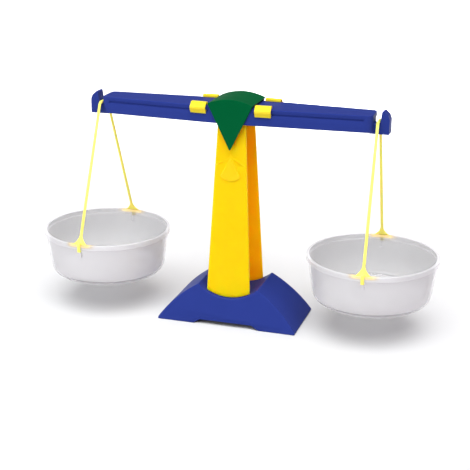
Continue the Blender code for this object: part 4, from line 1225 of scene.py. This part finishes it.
def make_floor():
    """A wide pale floor that shows white where nothing shades it."""
    mesh = bpy.data.meshes.new("floor")
    corners = [(x * FLOOR_REACH, y * FLOOR_REACH, 0) for x, y in ((-1, -1), (1, -1), (1, 1), (-1, 1))]
    mesh.from_pydata(corners, [], [(0, 1, 2, 3)])
    floor = add_object("floor", mesh)
    material, tree, shader = new_material("floor")
    mesh.materials.append(material)
    seen = seen_rays(tree)[1]
    place = add_node(tree, "TexCoord", {}).outputs["Object"]
    away = add_node(tree, "VectorMath", {0: place}, operation="LENGTH").outputs["Value"]
    far = add_math(tree, "MULTIPLY", add_fade(tree, away, FLOOR_NEAR, FLOOR_FAR), seen)
    feed(tree, shader, {
        "Base Color": add_mix(tree, seen, FLOOR_BOUNCE, FLOOR_SEEN),
        "Roughness": FLOOR_ROUGHNESS,
        "Specular IOR Level": 0,
        "Emission Color": WHITE,
        "Emission Strength": add_math(tree, "MULTIPLY", far, FLOOR_FAR_GLOW),
    })


def build():
    blue = plastic(
        "blue plastic", deep=(0.019, 0.035, 0.200), pale=(0.021, 0.038, 0.215),
        roughness=0.42, specular=0.04, tint=(0.25, 0.40, 1.0),
    )
    yellow = plastic(
        "yellow plastic", deep=(0.80, 0.54, 0.004), pale=(0.83, 0.57, 0.005),
        roughness=0.42, specular=0.06, tint=(1.0, 0.8, 0.3), glow=1.0,
    )
    green = plastic(
        "green plastic", deep=(0.0, 0.082, 0.024), pale=(0.0, 0.092, 0.027),
        roughness=0.40, specular=0.03, tint=(0.0, 1.0, 0.4),
    )
    straw = plastic(
        "straw plastic", deep=(0.90, 0.83, 0.15), pale=(0.92, 0.85, 0.19),
        roughness=0.42, specular=0.10, tint=WHITE, glow=0.4,
    )
    clip = plastic(
        "clip plastic", deep=(0.80, 0.60, 0.026), pale=(0.83, 0.63, 0.032),
        roughness=0.40, specular=0.06, tint=(1.0, 0.9, 0.5), glow=0.3,
    )
    clear = frosted("frosted plastic")
    metal = steel("bright steel")

    place_piece("base_moulding", base_mesh(), blue, "stand", "base_shell")
    place_piece("column_moulding", column_mesh(), yellow, "stand", "column")
    for side, side_name in SIDES:
        name = "base_screw_" + side_name
        place = (0, side * BOSS_Y, 0)
        place_piece(name + "_turned", screw_mesh(name), metal, "stand", name, place)
    place_piece("beam_moulding", beam_mesh(), blue, "beam_assembly", "beam")
    place_piece("pointer_cap", pointer_mesh(), green, "beam_assembly", "pointer")
    place = (0, 0, PIVOT_Z)
    place_piece("pivot_pin_turned", pin_mesh(), metal, "beam_assembly", "pivot_pin", place)

    shared_clip = clip_mesh()
    for side, side_name in SIDES:
        for end, end_name in ENDS:
            angle, place = rail_frame(side, end, CLIP_CENTRE_X)
            name = side_name + "_" + end_name
            place_piece(
                "clip_" + name + "_moulding", shared_clip.copy(), clip, "clip_" + name,
                "slider_" + name, (*place, BEAM_TOP_Z), angle,
            )

    rod = hanger_mesh()
    bowl = pan_mesh()
    for end, end_name in ENDS:
        body = end_name + "_pan_assembly"
        twist = end * HANGER_TWIST
        place_piece(
            "hanger_" + end_name + "_rod", rod.copy(), straw, body,
            "hanger_" + end_name, (end * ARM_LENGTH, 0, ROD_Z), twist,
        )
        place_piece(
            "pan_" + end_name + "_bowl", bowl.copy(), clear, body,
            "pan_" + end_name, (end * ARM_LENGTH, 0, RIM_Z), twist,
        )


make_camera()
make_lamps()
make_world()
make_floor()
build()

bpy.context.scene.view_settings.view_transform = "Standard"
